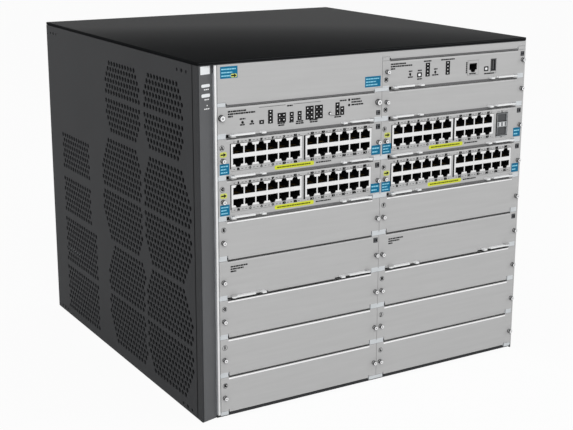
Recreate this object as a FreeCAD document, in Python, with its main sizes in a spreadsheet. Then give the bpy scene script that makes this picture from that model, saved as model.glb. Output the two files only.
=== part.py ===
"""Modular chassis switch: a nine-unit rack chassis with plug-in modules, in millimetres.

The frame is +Z up with the front toward -Y. The origin is the middle of the footprint of the
450 mm deep sheet-metal body, on the surface that it stands on.
"""
import FreeCAD, Part
import math
import operator
import os
import Sketcher

os.makedirs("parts", exist_ok=True)
doc = FreeCAD.newDocument("modular_chassis_switch")
dims = doc.addObject("Spreadsheet::Sheet", "dims")
nodes = []


# ---------------------------------------------------------------- sizes and expressions

class Size:
    """A length held both as a number and as the expression that gives it."""

    def __init__(self, value, text):
        self.value = value
        self.text = text

    def __add__(self, other):
        return combine(self, other, "+", operator.add)

    def __radd__(self, other):
        return combine(other, self, "+", operator.add)

    def __sub__(self, other):
        return combine(self, other, "-", operator.sub)

    def __rsub__(self, other):
        return combine(other, self, "-", operator.sub)

    def __mul__(self, other):
        return combine(self, other, "*", operator.mul)

    def __rmul__(self, other):
        return combine(other, self, "*", operator.mul)

    def __truediv__(self, other):
        return combine(self, other, "/", operator.truediv)

    def __neg__(self):
        return combine(0, self, "-", operator.sub)


def as_size(number):
    return number if isinstance(number, Size) else Size(float(number), "%.6g" % number)


def combine(left, right, sign, action):
    left = as_size(left)
    right = as_size(right)
    text = "(%s %s %s)" % (left.text, sign, right.text)
    return Size(action(left.value, right.value), text)


def size(alias, value):
    """One named value of the spreadsheet."""
    row = size.rows = getattr(size, "rows", 0) + 1
    dims.set("A%d" % row, alias)
    dims.set("B%d" % row, str(value))
    dims.setAlias("B%d" % row, alias)
    return Size(float(value), "dims.%s" % alias)


# body of the chassis
chassis_width = size("chassis_width", 444.5)
chassis_depth = size("chassis_depth", 450)
wall = size("wall", 1.5)
lip_height = size("lip_height", 4)
cover_skirt = size("cover_skirt", 3.5)
pan_lip = size("pan_lip", 3.6)
head_height = size("head_height", 13.51)
wall_reveal = size("wall_reveal", 0.5)
gap = size("clearance", 0.3)
# front layout
bezel_width = size("bezel_width", 19.25)
bezel_depth = size("bezel_depth", 11.7)
bezel_slant = size("bezel_slant", 4.5)
frame_reveal = size("frame_reveal", 3.5)
right_reveal = size("right_reveal", 2)
seam_offset = size("seam_offset", 10)
seam_gap = size("seam_gap", 0.5)
sill = size("sill", 3.4)
line_pitch = size("line_pitch", 44.87)
management_pitch = size("management_pitch", 34.5)
row_gap = size("row_gap", 2)
# faceplates
panel_sheet = size("panel_sheet", 1.5)
fold_depth = size("fold_depth", 9)
fold_radius = size("fold_radius", 1.3)
fold_rise = size("fold_rise", 0.8)
tab_reveal = size("tab_reveal", 0.2)
notch_width = size("notch_width", 9.75)
notch_height = size("notch_height", 2.8)
relief_width = size("relief_width", 1)
relief_height = size("relief_height", 1.6)
tongue_low = size("tongue_low", 1.3)
raised_width = size("raised_width", 60)
# modules
tray_sheet = size("tray_sheet", 1.2)
tray_inset = size("tray_inset", 10.4)
tray_side = size("tray_side", 7)
rib_width = size("rib_width", 6)
rib_height = size("rib_height", 1.8)
rib_offset = size("rib_offset", 20)
board_sheet = size("board_sheet", 1.6)
board_inset = size("board_inset", 13)
board_setback = size("board_setback", 2.6)
connector_depth = size("connector_depth", 12)
connector_room = size("connector_room", 15)
connector_width = size("connector_width", 60)
connector_height = size("connector_height", 9)
sink_setback = size("sink_setback", 120)
sink_width = size("sink_width", 50)
sink_height = size("sink_height", 10)
sink_inset = size("sink_inset", 20)
small_sink_width = size("small_sink_width", 30)
memory_inset = size("memory_inset", 20)
memory_width = size("memory_width", 40)
memory_depth = size("memory_depth", 10)
memory_height = size("memory_height", 12)
memory_setback = size("memory_setback", 70)
# card cage
cage_sheet = size("cage_sheet", 1.5)
ledge_sheet = size("ledge_sheet", 1.2)
ledge_reach = size("ledge_reach", 15)
ledge_rise = size("ledge_rise", 2.3)
ledge_setback = size("ledge_setback", 12)
cage_slot_front = size("cage_slot_front", 35)
cage_slot_back = size("cage_slot_back", 30)
cage_slot_low = size("cage_slot_low", 10)
cage_slot_high = size("cage_slot_high", 7)
roof_setback = size("roof_setback", 25)
backplane_sheet = size("backplane_sheet", 3)
# ejector levers
lever_sheet = size("lever_sheet", 1.8)
lever_low = size("lever_low", 1.3)
pivot_inset = size("pivot_inset", 16)
pivot_reach = size("pivot_reach", 3.2)
heel_radius = size("heel_radius", 2.8)
pin_radius = size("pin_radius", 1.3)
lever_clearance = size("lever_clearance", 0.4)
bar_start = size("bar_start", 19.5)
bar_end = size("bar_end", 42.5)
bar_reach = size("bar_reach", 4.6)
neck_reach = size("neck_reach", 2)
tab_start = size("tab_start", 50)
tab_end = size("tab_end", 55)
tab_reach = size("tab_reach", 6.6)
ear_margin = size("ear_margin", 1)
ear_sheet = size("ear_sheet", 0.9)
# RJ45 jacks
port_width = size("port_width", 11.5)
port_height = size("port_height", 8)
port_depth = size("port_depth", 15)
port_pitch = size("port_pitch", 14.2)
port_margin = size("port_margin", 8.5)
latch_width = size("latch_width", 6.4)
latch_height = size("latch_height", 2.8)
gang_height = size("gang_height", 29.5)
gang_depth = size("gang_depth", 22)
gang_left = size("gang_left", 15.5)
gang_spacing = size("gang_spacing", 4.7)
short_gang_spacing = size("short_gang_spacing", 2.9)
gang_end = size("gang_end", 12)
upper_port = size("upper_port", 18.1)
lower_port = size("lower_port", 5)
# optical cage, console jack and USB socket
cage_width = size("optical_cage_width", 17.75)
cage_length = size("optical_cage_length", 48)
optical_inset = size("optical_inset", 21.75)
optical_spacing = size("optical_spacing", 4)
slot_width = size("optical_slot_width", 14.2)
slot_height = size("optical_slot_height", 9.6)
slot_depth = size("optical_slot_depth", 42)
lower_slot = size("lower_slot", 2.1)
upper_slot = size("upper_slot", 18.6)
console_left = size("console_left", 123)
console_width = size("console_width", 16)
console_height = size("console_height", 17)
usb_left = size("usb_left", 158)
usb_width = size("usb_width", 8.2)
usb_slot_width = size("usb_slot_width", 5.2)
usb_slot_height = size("usb_slot_height", 13)
usb_slot_depth = size("usb_slot_depth", 14)
socket_floor = size("socket_floor", 2.1)
# push buttons
reset_radius = size("reset_radius", 0.9)
select_radius = size("select_radius", 1.7)
button_travel = size("button_travel", 1.2)
collar_step = size("collar_step", 0.8)
collar_length = size("collar_length", 5)
housing_wall = size("housing_wall", 1.4)
housing_setback = size("housing_setback", 0.8)
button_height = size("button_height", 13.8)
# vent fields of the side walls
ear_setback = size("ear_setback", 38)
ear_spacing = size("ear_spacing", 22)
ear_hole_radius = size("ear_hole_radius", 2)
ear_hole_low = size("ear_hole_low", 5)
ear_hole_drop = size("ear_hole_drop", 13)
vent_pitch = size("vent_pitch", 38)
vent_size = size("vent_size", 32)
upper_vents_near = size("upper_vents_near", 87.3)
upper_vents_far = size("upper_vents_far", 200)
upper_vents_high = size("upper_vents_high", 353.5)
upper_vents_low = size("upper_vents_low", 307)
middle_vents_near = size("middle_vents_near", 83.5)
middle_vents_far = size("middle_vents_far", 205.5)
middle_vents_level = size("middle_vents_level", 213.7)
lower_vents_far = size("lower_vents_far", 195.2)
lower_vents_level = size("lower_vents_level", 79.1)
rear_vents_back = size("rear_vents_back", 90.6)
rear_vents_high = size("rear_vents_high", 234.6)
rear_vents_low = size("rear_vents_low", 174.5)
tall_vents_back = size("tall_vents_back", 98.5)
tall_vents_high = size("tall_vents_high", 110.8)
tall_vents_low = size("tall_vents_low", 42)
# rear
supply_height = size("supply_height", 84)
supply_depth = size("supply_depth", 150)
supply_shell = size("supply_shell", 1.2)
bay_margin = size("bay_margin", 8.75)
bay_spacing = size("bay_spacing", 6)
rear_room = size("rear_room", 12)
bay_side_gap = size("bay_side_gap", 0.5)
inlet_width = size("inlet_width", 27)
inlet_height = size("inlet_height", 20)
inlet_depth = size("inlet_depth", 18)
prong_sheet = size("prong_sheet", 2)
prong_height = size("prong_height", 4)
prong_spread = size("prong_spread", 7)
prong_drop = size("prong_drop", 2)
prong_lift = size("prong_lift", 3.5)
inlet_side = size("inlet_side", 8)
inlet_rise = size("inlet_rise", 12)
air_start = size("air_start", 46)
air_pitch = size("air_pitch", 7)
air_width = size("air_width", 4)
air_rise = size("air_rise", 10)
air_height = size("air_height", 34)
cover_margin = size("cover_margin", 1.5)
bail_reach = size("bail_reach", 24)
bail_rod = size("bail_rod", 5)
bail_span = size("bail_span", 62)
bail_drop = size("bail_drop", 20)
fan_tray_margin = size("fan_tray_margin", 18.75)
tray_height = size("fan_tray_height", 136)
tray_depth = size("fan_tray_depth", 70)
tray_bottom = size("fan_tray_bottom", 97.7)
fan_end = size("fan_end", 7)
fan_radius = size("fan_radius", 54)
hub_radius = size("hub_radius", 21)
hub_length = size("hub_length", 24)
shaft_radius = size("shaft_radius", 3)
running_gap = size("running_gap", 0.08)
hub_setback = size("hub_setback", 8)
tip_gap = size("tip_gap", 4)
blade_sheet = size("blade_sheet", 2)
blade_root = size("blade_root", 3)
boss_half = size("boss_half", 14)
shelf_overhang = size("shelf_overhang", 20)
handle_width = size("handle_width", 60)
handle_reach = size("handle_reach", 14)
handle_drop = size("handle_drop", 12)
guard_bar = size("guard_bar", 4)
exhaust_bottom = size("exhaust_bottom", 262)
exhaust_height = size("exhaust_height", 50)
exhaust_pitch = size("exhaust_pitch", 30)
exhaust_width = size("exhaust_width", 16)
exhaust_gap = size("exhaust_gap", 12)

LINE_ROWS = 7
FIRST_GANG = 6
blade_count = 5
blade_pitch = 38
blade_chord = 0.9
LETTERS = {0: "kl", 1: "ij", 2: "gh", 4: "ef"}
rows = [sill + line_pitch * k for k in range(LINE_ROWS + 1)]
rows.append(rows[7] + management_pitch)
rows.append(rows[8] + management_pitch)
chassis_height = rows[9] + head_height

half_width = chassis_width / 2
front = -chassis_depth / 2
rear = chassis_depth / 2
left_face = -half_width
inner_left = left_face + wall
inner_right = half_width - wall
inner_width = inner_right - inner_left

module_depth = chassis_depth - supply_depth - rear_room - backplane_sheet - connector_room
cage_depth = module_depth + connector_room
bay_pitch = (inner_width - bay_margin * 2) / 4
supply_width = bay_pitch - bay_spacing
fan_tray_width = inner_width - fan_tray_margin * 2
fan_pitch = (fan_tray_width - fan_end * 2) / 3
exhaust_count = int(inner_width.value / exhaust_pitch.value) - 1
air_slots = int((supply_width - air_start - supply_shell * 2).value / air_pitch.value)


class Column:
    """One of the two stacks of slots, from the low to the high edge of its faceplates."""

    def __init__(self, name, low, high):
        self.name = name
        self.low = low
        self.high = high
        self.width = high - low


left_column = Column("left", left_face + bezel_width + frame_reveal, seam_offset - seam_gap / 2)
right_column = Column("right", seam_offset + seam_gap / 2, half_width - right_reveal)
columns = (left_column, right_column)
optical_left = right_column.width - optical_inset - cage_width


# ---------------------------------------------------------------- building blocks

def place(item, at):
    for axis, value in zip("xyz", at):
        item.setExpression("Placement.Base." + axis, as_size(value).text)
    return item


def box(name, x, y, z):
    """A block between three pairs of planes."""
    made = doc.addObject("Part::Box", name)
    for length, span in zip(("Length", "Width", "Height"), (x, y, z)):
        made.setExpression(length, (as_size(span[1]) - span[0]).text)
    return place(made, (x[0], y[0], z[0]))


def cylinder(name, radius, axis, centre, span):
    """A round bar along one axis, with its centre given in the other two directions."""
    made = doc.addObject("Part::Cylinder", name)
    made.setExpression("Radius", as_size(radius).text)
    made.setExpression("Height", (as_size(span[1]) - span[0]).text)
    if axis == "y":
        made.Placement.Rotation = FreeCAD.Rotation(FreeCAD.Vector(1, 0, 0), -90)
        return place(made, (centre[0], span[0], centre[1]))
    if axis == "x":
        made.Placement.Rotation = FreeCAD.Rotation(FreeCAD.Vector(0, 1, 0), 90)
        return place(made, (span[0], centre[0], centre[1]))
    return place(made, (centre[0], centre[1], span[0]))


def fuse(name, items):
    made = doc.addObject("Part::MultiFuse", name)
    made.Shapes = items
    made.Refine = True
    return made


def cut(name, base, tools):
    made = doc.addObject("Part::Cut", name)
    made.Base = base
    made.Tool = tools[0] if len(tools) == 1 else fuse(name + "_cutters", tools)
    made.Refine = True
    return made


def keep(item, label):
    """Marks a finished sub-part and names its file."""
    item.Label = label
    nodes.append(item)
    return item


def group(items, label):
    """Like pieces that share one file as separate solids."""
    made = doc.addObject("Part::Compound", label)
    made.Links = items
    return keep(made, label)


def new_body(name, at):
    return place(doc.addObject("PartDesign::Body", name), at)


def new_sketch(body, name, role, offset=0):
    """A sketch on one of the body's own origin planes, moved along that plane's normal."""
    made = body.newObject("Sketcher::SketchObject", body.Name + "_" + name)
    origin_plane = next(item for item in body.Origin.OriginFeatures if item.Role == role)
    made.AttachmentSupport = (origin_plane, "")
    made.MapMode = "FlatFace"
    made.setExpression("AttachmentOffset.Base.z", as_size(offset).text)
    return made


def bind(drawing, kind, geometry, point, value):
    value = as_size(value)
    if point is None:
        rule = Sketcher.Constraint(kind, geometry, value.value)
    else:
        rule = Sketcher.Constraint(kind, -1, 1, geometry, point, value.value)
    index = drawing.addConstraint(rule)
    drawing.setExpression("Constraints[%d]" % index, value.text)


def polygon(drawing, points):
    """A closed outline whose corners are bound to expressions."""
    first = drawing.GeometryCount
    count = len(points)
    corners = [FreeCAD.Vector(as_size(u).value, as_size(v).value, 0) for u, v in points]
    for index in range(count):
        drawing.addGeometry(Part.LineSegment(corners[index], corners[(index + 1) % count]))
    for index in range(count):
        following = first + (index + 1) % count
        drawing.addConstraint(Sketcher.Constraint("Coincident", first + index, 2, following, 1))
    for index, (u, v) in enumerate(points):
        bind(drawing, "DistanceX", first + index, 1, u)
        bind(drawing, "DistanceY", first + index, 1, v)


def rectangle(drawing, u, v):
    polygon(drawing, [(u[0], v[0]), (u[1], v[0]), (u[1], v[1]), (u[0], v[1])])


def circle(drawing, centre, radius):
    u, v = as_size(centre[0]), as_size(centre[1])
    middle = FreeCAD.Vector(u.value, v.value, 0)
    shape = Part.Circle(middle, FreeCAD.Vector(0, 0, 1), as_size(radius).value)
    index = drawing.addGeometry(shape)
    bind(drawing, "DistanceX", index, 3, u)
    bind(drawing, "DistanceY", index, 3, v)
    bind(drawing, "Radius", index, None, radius)


def extrude(body, kind, drawing, length, reverse):
    made = body.newObject("PartDesign::" + kind, drawing.Name + "_" + kind.lower())
    made.Profile = drawing
    made.setExpression("Length", as_size(length).text)
    made.Reversed = reverse
    doc.recompute()
    return made


def pad_back(body, drawing, length):
    """Adds material from a front-facing sketch toward the rear."""
    return extrude(body, "Pad", drawing, length, True)


def pad_front(body, drawing, length):
    return extrude(body, "Pad", drawing, length, False)


def pocket_back(body, drawing, length):
    """Cuts from a front-facing sketch toward the rear, and proves that it cut."""
    before = body.Shape.Volume
    made = extrude(body, "Pocket", drawing, length, False)
    if body.Shape.Volume >= before - 1e-6:
        raise RuntimeError("pocket cuts nothing: " + made.Name)
    return made


def round_edges(body, base, radius, test):
    """Rounds the edges of a feature whose two ends pass a test."""
    names = []
    for index, edge in enumerate(base.Shape.Edges):
        if all(test(vertex.Point) for vertex in edge.Vertexes):
            names.append("Edge%d" % (index + 1))
    made = body.newObject("PartDesign::Fillet", base.Name + "_round")
    made.Base = (base, names)
    made.setExpression("Radius", as_size(radius).text)
    doc.recompute()
    return made


def pattern(body, feature, count, pitch):
    """Repeats a pocket along the sketch's horizontal direction."""
    made = body.newObject("PartDesign::LinearPattern", feature.Name + "_row")
    made.Originals = [feature]
    made.Direction = (feature.Profile[0], ["H_Axis"])
    made.Occurrences = count
    made.setExpression("Length", (pitch * (count - 1)).text)
    body.Tip = made
    doc.recompute()
    return made


# ---------------------------------------------------------------- faceplates

def blank_edge(right):
    """Lower edge of a slot cover: cut back for the tabs, with a relief slot beside each bend."""
    slot = notch_width + relief_width
    top = notch_height + relief_height
    return [(0, notch_height), (notch_width, notch_height), (notch_width, top), (slot, top),
            (slot, tongue_low), (right - slot, tongue_low), (right - slot, top), (right - notch_width, top),
            (right - notch_width, notch_height), (right, notch_height)]


def module_edge(right):
    """Lower edge of a module: straight, with a short tongue that carries each lever ear."""
    near = pivot_inset - heel_radius
    far = pivot_inset + heel_radius
    return [(0, notch_height), (near, notch_height), (near, 0), (far, 0), (far, notch_height),
            (right - far, notch_height), (right - far, 0), (right - near, 0), (right - near, notch_height),
            (right, notch_height)]


def raised_edge(right):
    """Lower edge of a fabric module: wide cut-outs that leave room for the levers."""
    return [(0, notch_height), (raised_width, notch_height), (raised_width, tongue_low),
            (right - raised_width, tongue_low), (right - raised_width, notch_height), (right, notch_height)]


def faceplate(name, column, row, lower_edge):
    """Flat front with a rounded top fold that rises between the tabs, and a top return."""
    body = new_body(name, (column.low, front, rows[row] + row_gap / 2))
    right = column.width
    height = rows[row + 1] - rows[row] - row_gap
    crest = height + fold_rise
    outline = new_sketch(body, "outline", "XZ_Plane")
    polygon(outline, lower_edge(right) + [
        (right, height), (right - notch_width, height), (right - notch_width, crest),
        (notch_width, crest), (notch_width, height), (0, height)])
    plate = pad_back(body, outline, panel_sheet)
    top = crest.value
    round_edges(body, plate, fold_radius, lambda p: abs(p.z - top) < 1e-3 and abs(p.y) < 1e-3)
    fold_low = notch_width + gap
    add_return(body, "top_return", (fold_low, right - fold_low), (crest - panel_sheet, crest))
    return body


def add_return(body, name, across, level):
    """Flange bent back from the top or the bottom of a plate."""
    fold = new_sketch(body, name, "XZ_Plane", -panel_sheet / 2)
    rectangle(fold, across, level)
    pad_back(body, fold, fold_depth - panel_sheet / 2)


def blank_panel(name, column, row):
    """Slot cover: a faceplate with a lower return and nothing behind it."""
    body = faceplate(name, column, row, blank_edge)
    slot = notch_width + relief_width
    add_return(body, "lower_return", (slot, column.width - slot), (tongue_low, tongue_low + panel_sheet))
    return body


def tray_level():
    """Height of the tray above the lower edge of its faceplate: it clears the guide ledge."""
    return ledge_rise + ledge_sheet - row_gap / 2 + gap


def board_level():
    return tray_level() + tray_sheet + rib_height


def add_tray(body, column, length):
    """Floor with low sides and two embossed ribs that carry the circuit board."""
    right = column.width - tray_inset
    floor = tray_level()
    depth = length - panel_sheet / 2
    section = new_sketch(body, "tray", "XZ_Plane", -panel_sheet / 2)
    polygon(section, [
        (tray_inset, floor + tray_side), (tray_inset, floor), (right, floor),
        (right, floor + tray_side), (right - tray_sheet, floor + tray_side),
        (right - tray_sheet, floor + tray_sheet), (tray_inset + tray_sheet, floor + tray_sheet),
        (tray_inset + tray_sheet, floor + tray_side)])
    pad_back(body, section, depth)
    ribs = new_sketch(body, "ribs", "XZ_Plane", -board_setback)
    base = floor + tray_sheet
    for low in (tray_inset + rib_offset, right - rib_offset - rib_width):
        rectangle(ribs, (low, low + rib_width), (base, base + rib_height))
    pad_back(body, ribs, length - board_setback)


def add_lever_seats(body, column, raised):
    """An ear with a pivot pin for the ejector lever at each side, over the levers where raised."""
    ear_low = lever_low + lever_sheet + gap if raised else as_size(0)
    pin_low = lever_low - gap if raised else ear_low
    pin_high = ear_low + ear_sheet if raised else lever_low + lever_sheet + gap
    ears = new_sketch(body, "ears", "XZ_Plane", -panel_sheet / 2)
    right = column.width
    near = pivot_inset - heel_radius
    far = pivot_inset + heel_radius
    for low, high in ((near, far), (right - far, right - near)):
        rectangle(ears, (low, high), (ear_low, ear_low + ear_sheet))
    pad_front(body, ears, pivot_reach + pin_radius + ear_margin + panel_sheet / 2)
    pins = new_sketch(body, "pins", "XY_Plane", pin_low)
    for along in (pivot_inset, right - pivot_inset):
        circle(pins, (along, -pivot_reach), pin_radius)
    extrude(body, "Pad", pins, pin_high - pin_low, False)


def add_windows(body, name, windows, holes=()):
    """Openings through the faceplate, square ones and round ones."""
    drawing = new_sketch(body, name, "XZ_Plane")
    for u, v in windows:
        rectangle(drawing, u, v)
    for centre, radius in holes:
        circle(drawing, centre, radius)
    pocket_back(body, drawing, panel_sheet)


def module(name, column, row, windows=(), holes=(), raised=False):
    """Plug-in module: faceplate, tray, lever seats and the openings of its front."""
    body = faceplate(name, column, row, raised_edge if raised else module_edge)
    add_tray(body, column, module_depth)
    add_lever_seats(body, column, raised)
    if windows or holes:
        add_windows(body, "windows", windows, holes)
    return keep(body, name)


# ---------------------------------------------------------------- ejector levers

def lever(name, column, row, side):
    """Flat lever with a cropped heel, a wide bar, a narrow neck and a finger tab."""
    turned = side == "right"
    edge = column.high - pivot_inset if turned else column.low + pivot_inset
    body = new_body(name, (edge, front - pivot_reach, rows[row] + row_gap / 2 + lever_low))
    sign = -1 if turned else 1
    back = pivot_reach - lever_clearance
    outer = pivot_reach - bar_reach
    neck = pivot_reach - neck_reach
    tip = pivot_reach - tab_reach
    along = [sign * (value - pivot_inset) for value in (bar_start, bar_end, tab_start, tab_end)]
    crop = heel_radius * math.sqrt(0.5)
    drawing = new_sketch(body, "outline", "XY_Plane")
    polygon(drawing, [
        (0, back), (along[3], back), (along[3], tip), (along[2], tip), (along[2], neck),
        (along[1], neck), (along[1], outer), (along[0], outer), (0, -heel_radius),
        (-sign * crop, -crop), (-sign * heel_radius, 0), (-sign * crop, crop)])
    extrude(body, "Pad", drawing, lever_sheet, False)
    bore = new_sketch(body, "bore", "XY_Plane")
    circle(bore, (0, 0), pin_radius + running_gap)
    before = body.Shape.Volume
    extrude(body, "Pocket", bore, lever_sheet, True)
    if body.Shape.Volume >= before:
        raise RuntimeError("no pivot hole: " + name)
    return keep(body, name)


# ---------------------------------------------------------------- boards and sockets

def board_y():
    return front + board_setback + gap


def board(name, column, row, extras=()):
    """Circuit board on the tray's ribs, with heat sinks, memory and its backplane connector."""
    low = column.low + board_inset
    high = column.high - board_inset
    level = rows[row] + row_gap / 2 + board_level()
    top = level + board_sheet
    end = front + module_depth
    middle = (low + high) / 2
    deep = front + sink_setback
    pieces = [
        box(name + "_sheet", (low, high), (board_y(), end - gap), (level, top)),
        box(name + "_connector", (middle - connector_width / 2, middle + connector_width / 2),
            (end - connector_depth, end - gap), (top, top + connector_height)),
        box(name + "_large_sink", (middle - sink_width / 2, middle + sink_width / 2),
            (deep, deep + sink_width), (top, top + sink_height)),
        box(name + "_small_sink", (low + sink_inset, low + sink_inset + small_sink_width),
            (deep + small_sink_width, deep + small_sink_width * 2), (top, top + sink_height)),
        box(name + "_memory", (high - memory_inset - memory_width, high - memory_inset),
            (deep + memory_setback, deep + memory_setback + memory_depth), (top, top + memory_height))]
    return keep(fuse(name, pieces + list(extras)), name)


def gang_width(ports):
    return port_pitch * (ports - 1) + port_margin * 2


def gang_layout(spacing, end):
    """The first block of jacks, then a second with as many as fit before the given end."""
    start = gang_left + gang_width(FIRST_GANG) + spacing
    room = end - start - port_margin * 2
    return (gang_left, FIRST_GANG), (start, int(room.value / port_pitch.value) + 1)


def jack_gang(name, at, ports):
    """Shielded block of two rows of RJ45 sockets, whose latch notches face away from each other."""
    body = new_body(name, at)
    outline = new_sketch(body, "outline", "XZ_Plane")
    rectangle(outline, (0, gang_width(ports)), (0, gang_height))
    pad_back(body, outline, gang_depth)
    for row_name, level, away in (("upper", upper_port, 1), ("lower", lower_port, -1)):
        drawing = new_sketch(body, row_name, "XZ_Plane")
        polygon(drawing, port_points(port_margin, level, away))
        pocket = pocket_back(body, drawing, port_depth)
        pattern(body, pocket, ports, port_pitch)
    return body


def port_points(centre, level, away):
    """Mouth of one socket: a rectangle with a latch notch above (away 1) or below (away -1)."""
    half = port_width / 2
    latch = latch_width / 2
    top = level + port_height
    if away > 0:
        flat, edge, tip = level, top, top + latch_height
    else:
        flat, edge, tip = top, level, level - latch_height
    return [(centre - half, flat), (centre + half, flat), (centre + half, edge), (centre + latch, edge),
            (centre + latch, tip), (centre - latch, tip), (centre - latch, edge), (centre - half, edge)]


def socket_level():
    """Underside of the jack blocks above the faceplate's lower edge: they stand on the board."""
    return board_level() + board_sheet


def jacks(name, column, row, layout):
    """The jack blocks of one line module: (left edge, ports a row) for each."""
    level = rows[row] + row_gap / 2 + socket_level()
    blocks = []
    for index, (left, ports) in enumerate(layout):
        at = (column.low + left, front, level)
        blocks.append(jack_gang("%s_block_%d" % (name, index + 1), at, ports))
    return group(blocks, name)


def jack_windows(layout):
    level = socket_level()
    found = []
    for left, ports in layout:
        found.append(((left - gap, left + gang_width(ports) + gap), (level - gap, level + gang_height + gap)))
    return found


def optical_cage(name, column, row):
    """Metal cage with two stacked slots for optical transceivers."""
    level = rows[row] + row_gap / 2 + socket_level()
    left = column.low + optical_left
    centre = left + cage_width / 2
    block = box(name + "_block", (left, left + cage_width), (front - 0.4, front + cage_length),
                (level, level + gang_height))
    slots = []
    for index, low in enumerate((lower_slot, upper_slot)):
        slots.append(box("%s_slot_%d" % (name, index + 1),
                         (centre - slot_width / 2, centre + slot_width / 2),
                         (front - 1, front + slot_depth), (level + low, level + low + slot_height)))
    return keep(cut(name, block, slots), name)


# ---------------------------------------------------------------- push buttons

def button_housing(name, column, row, along, radius):
    """Switch housing on the board, with a square room for the button's collar."""
    centre = column.low + along
    lower = rows[row] + row_gap / 2
    room = radius + collar_step + gap
    half = room + housing_wall
    start = front + panel_sheet + gap
    end = start + collar_length + button_travel
    block = box(name + "_block", (centre - half, centre + half),
                (start + gap + housing_setback, end + housing_wall),
                (lower + socket_level(), lower + button_height + half))
    hollow = box(name + "_room", (centre - room, centre + room), (start, end),
                 (lower + button_height - room, lower + button_height + room))
    return cut(name, block, [hollow])


def button(name, column, row, along, radius, stand_out):
    """Push button: a stem through the faceplate and a square collar inside the switch housing."""
    across = column.low + along
    level = rows[row] + row_gap / 2 + button_height
    seat = front + panel_sheet + gap
    half = radius + collar_step
    stem = cylinder(name + "_stem", radius, "y", (across, level), (front - stand_out, seat + collar_length))
    collar = box(name + "_collar", (across - half, across + half), (seat, seat + collar_length),
                 (level - half, level + half))
    return keep(fuse(name, [stem, collar]), name)


# ---------------------------------------------------------------- chassis shell

def top_cover():
    top = chassis_height
    under = top - wall
    pieces = [
        box("cover_sheet", (left_face, half_width), (front, rear), (under, top)),
        box("cover_front_lip", (inner_left, inner_right), (front, front + wall), (top - lip_height, top)),
        box("cover_rear_lip", (left_face, half_width), (rear - wall, rear), (top - cover_skirt, top)),
        box("cover_left_skirt", (left_face, inner_left), (front, rear), (top - cover_skirt, top)),
        box("cover_right_skirt", (inner_right, half_width), (front, rear), (top - cover_skirt, top))]
    return keep(fuse("top_cover", pieces), "top_cover")


def frame_face():
    """Front of the card cage's posts, just behind the faceplates."""
    return front + panel_sheet + gap


def pan_front():
    """Front lip of the base pan, just behind the card cage's posts."""
    return frame_face() + cage_sheet + gap


def base_pan():
    """Floor with a front lip, cut back behind the bezel, and guides between the power supplies."""
    edge = pan_front()
    corner = left_face + bezel_width + gap
    pieces = [
        box("pan_sheet", (corner, inner_right), (edge, rear), (0, wall)),
        box("pan_corner", (inner_left, corner), (front + bezel_depth + gap, rear), (0, wall)),
        box("pan_front_lip", (corner, inner_right), (edge, edge + wall), (0, pan_lip))]
    for index in range(3):
        middle = bay_left(index + 1) - (bay_pitch - supply_width) / 2
        pieces.append(box("pan_divider_%d" % index, (middle - wall / 2, middle + wall / 2),
                          (rear - supply_depth, rear - wall - gap), (0, supply_height / 4)))
    return keep(fuse("base_pan", pieces), "base_pan")


def vent_fields():
    """Rows of vent holes, as (distance of the middle from the front, height, number of holes)."""
    step = vent_pitch * (math.sqrt(3) / 2)
    found = []
    for height in (upper_vents_high, upper_vents_low):
        found += [(upper_vents_near, height, 2), (upper_vents_far, height, 2)]
    for along, middle in ((middle_vents_near, middle_vents_level), (middle_vents_far, middle_vents_level),
                          (middle_vents_near, lower_vents_level), (lower_vents_far, lower_vents_level)):
        found += [(along, middle - step, 2), (along, middle, 3), (along, middle + step, 2)]
    for height in (rear_vents_high, rear_vents_low):
        found.append((chassis_depth - rear_vents_back, height, 2))
    tall_along = chassis_depth - tall_vents_back
    for middle in (tall_vents_high, tall_vents_low):
        found += [(tall_along - vent_pitch / 4, middle + step / 2, 2),
                  (tall_along + vent_pitch / 4, middle - step / 2, 2)]
    return found


def vent_cutters():
    """Hexagonal punches that pass through both side walls."""
    cutters = []
    for along, height, count in vent_fields():
        for index in range(count):
            made = doc.addObject("Part::Prism", "vent_punch")
            made.Polygon = 6
            made.setExpression("Circumradius", (vent_size / math.sqrt(3)).text)
            made.setExpression("Height", (chassis_width + 2).text)
            made.Placement.Rotation = FreeCAD.Rotation(FreeCAD.Vector(0, 1, 0), 90)
            offset = vent_pitch * (index - (count - 1) / 2)
            place(made, (left_face - 1, front + along + offset, height))
            cutters.append(made)
    return cutters


def ear_cutters():
    """Screw holes near the front edge that take a pair of rack ears."""
    cutters = []
    for along in (ear_setback - ear_spacing / 2, ear_setback + ear_spacing / 2):
        for height in (ear_hole_low, chassis_height - ear_hole_drop):
            cutters.append(cylinder("ear_hole", ear_hole_radius, "x", (front + along, height),
                                    (left_face - 1, half_width + 1)))
    return cutters


def left_side_wall(punches):
    """Outer wall with a front return that backs the bezel."""
    top = chassis_height - cover_skirt
    stop = front + bezel_depth + gap
    pieces = [
        box("left_sheet", (left_face, inner_left), (front + wall_reveal, rear), (0, top)),
        box("left_return", (left_face, left_face + bezel_width - gap), (stop, stop + wall), (wall, top))]
    return keep(cut("left_side_wall", fuse("left_wall_blank", pieces), [punches]), "left_side_wall")


def right_side_wall(punches):
    top = chassis_height - cover_skirt
    sheet = box("right_sheet", (inner_right, half_width), (front + wall_reveal, rear), (0, top))
    return keep(cut("right_side_wall", sheet, [punches]), "right_side_wall")


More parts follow.
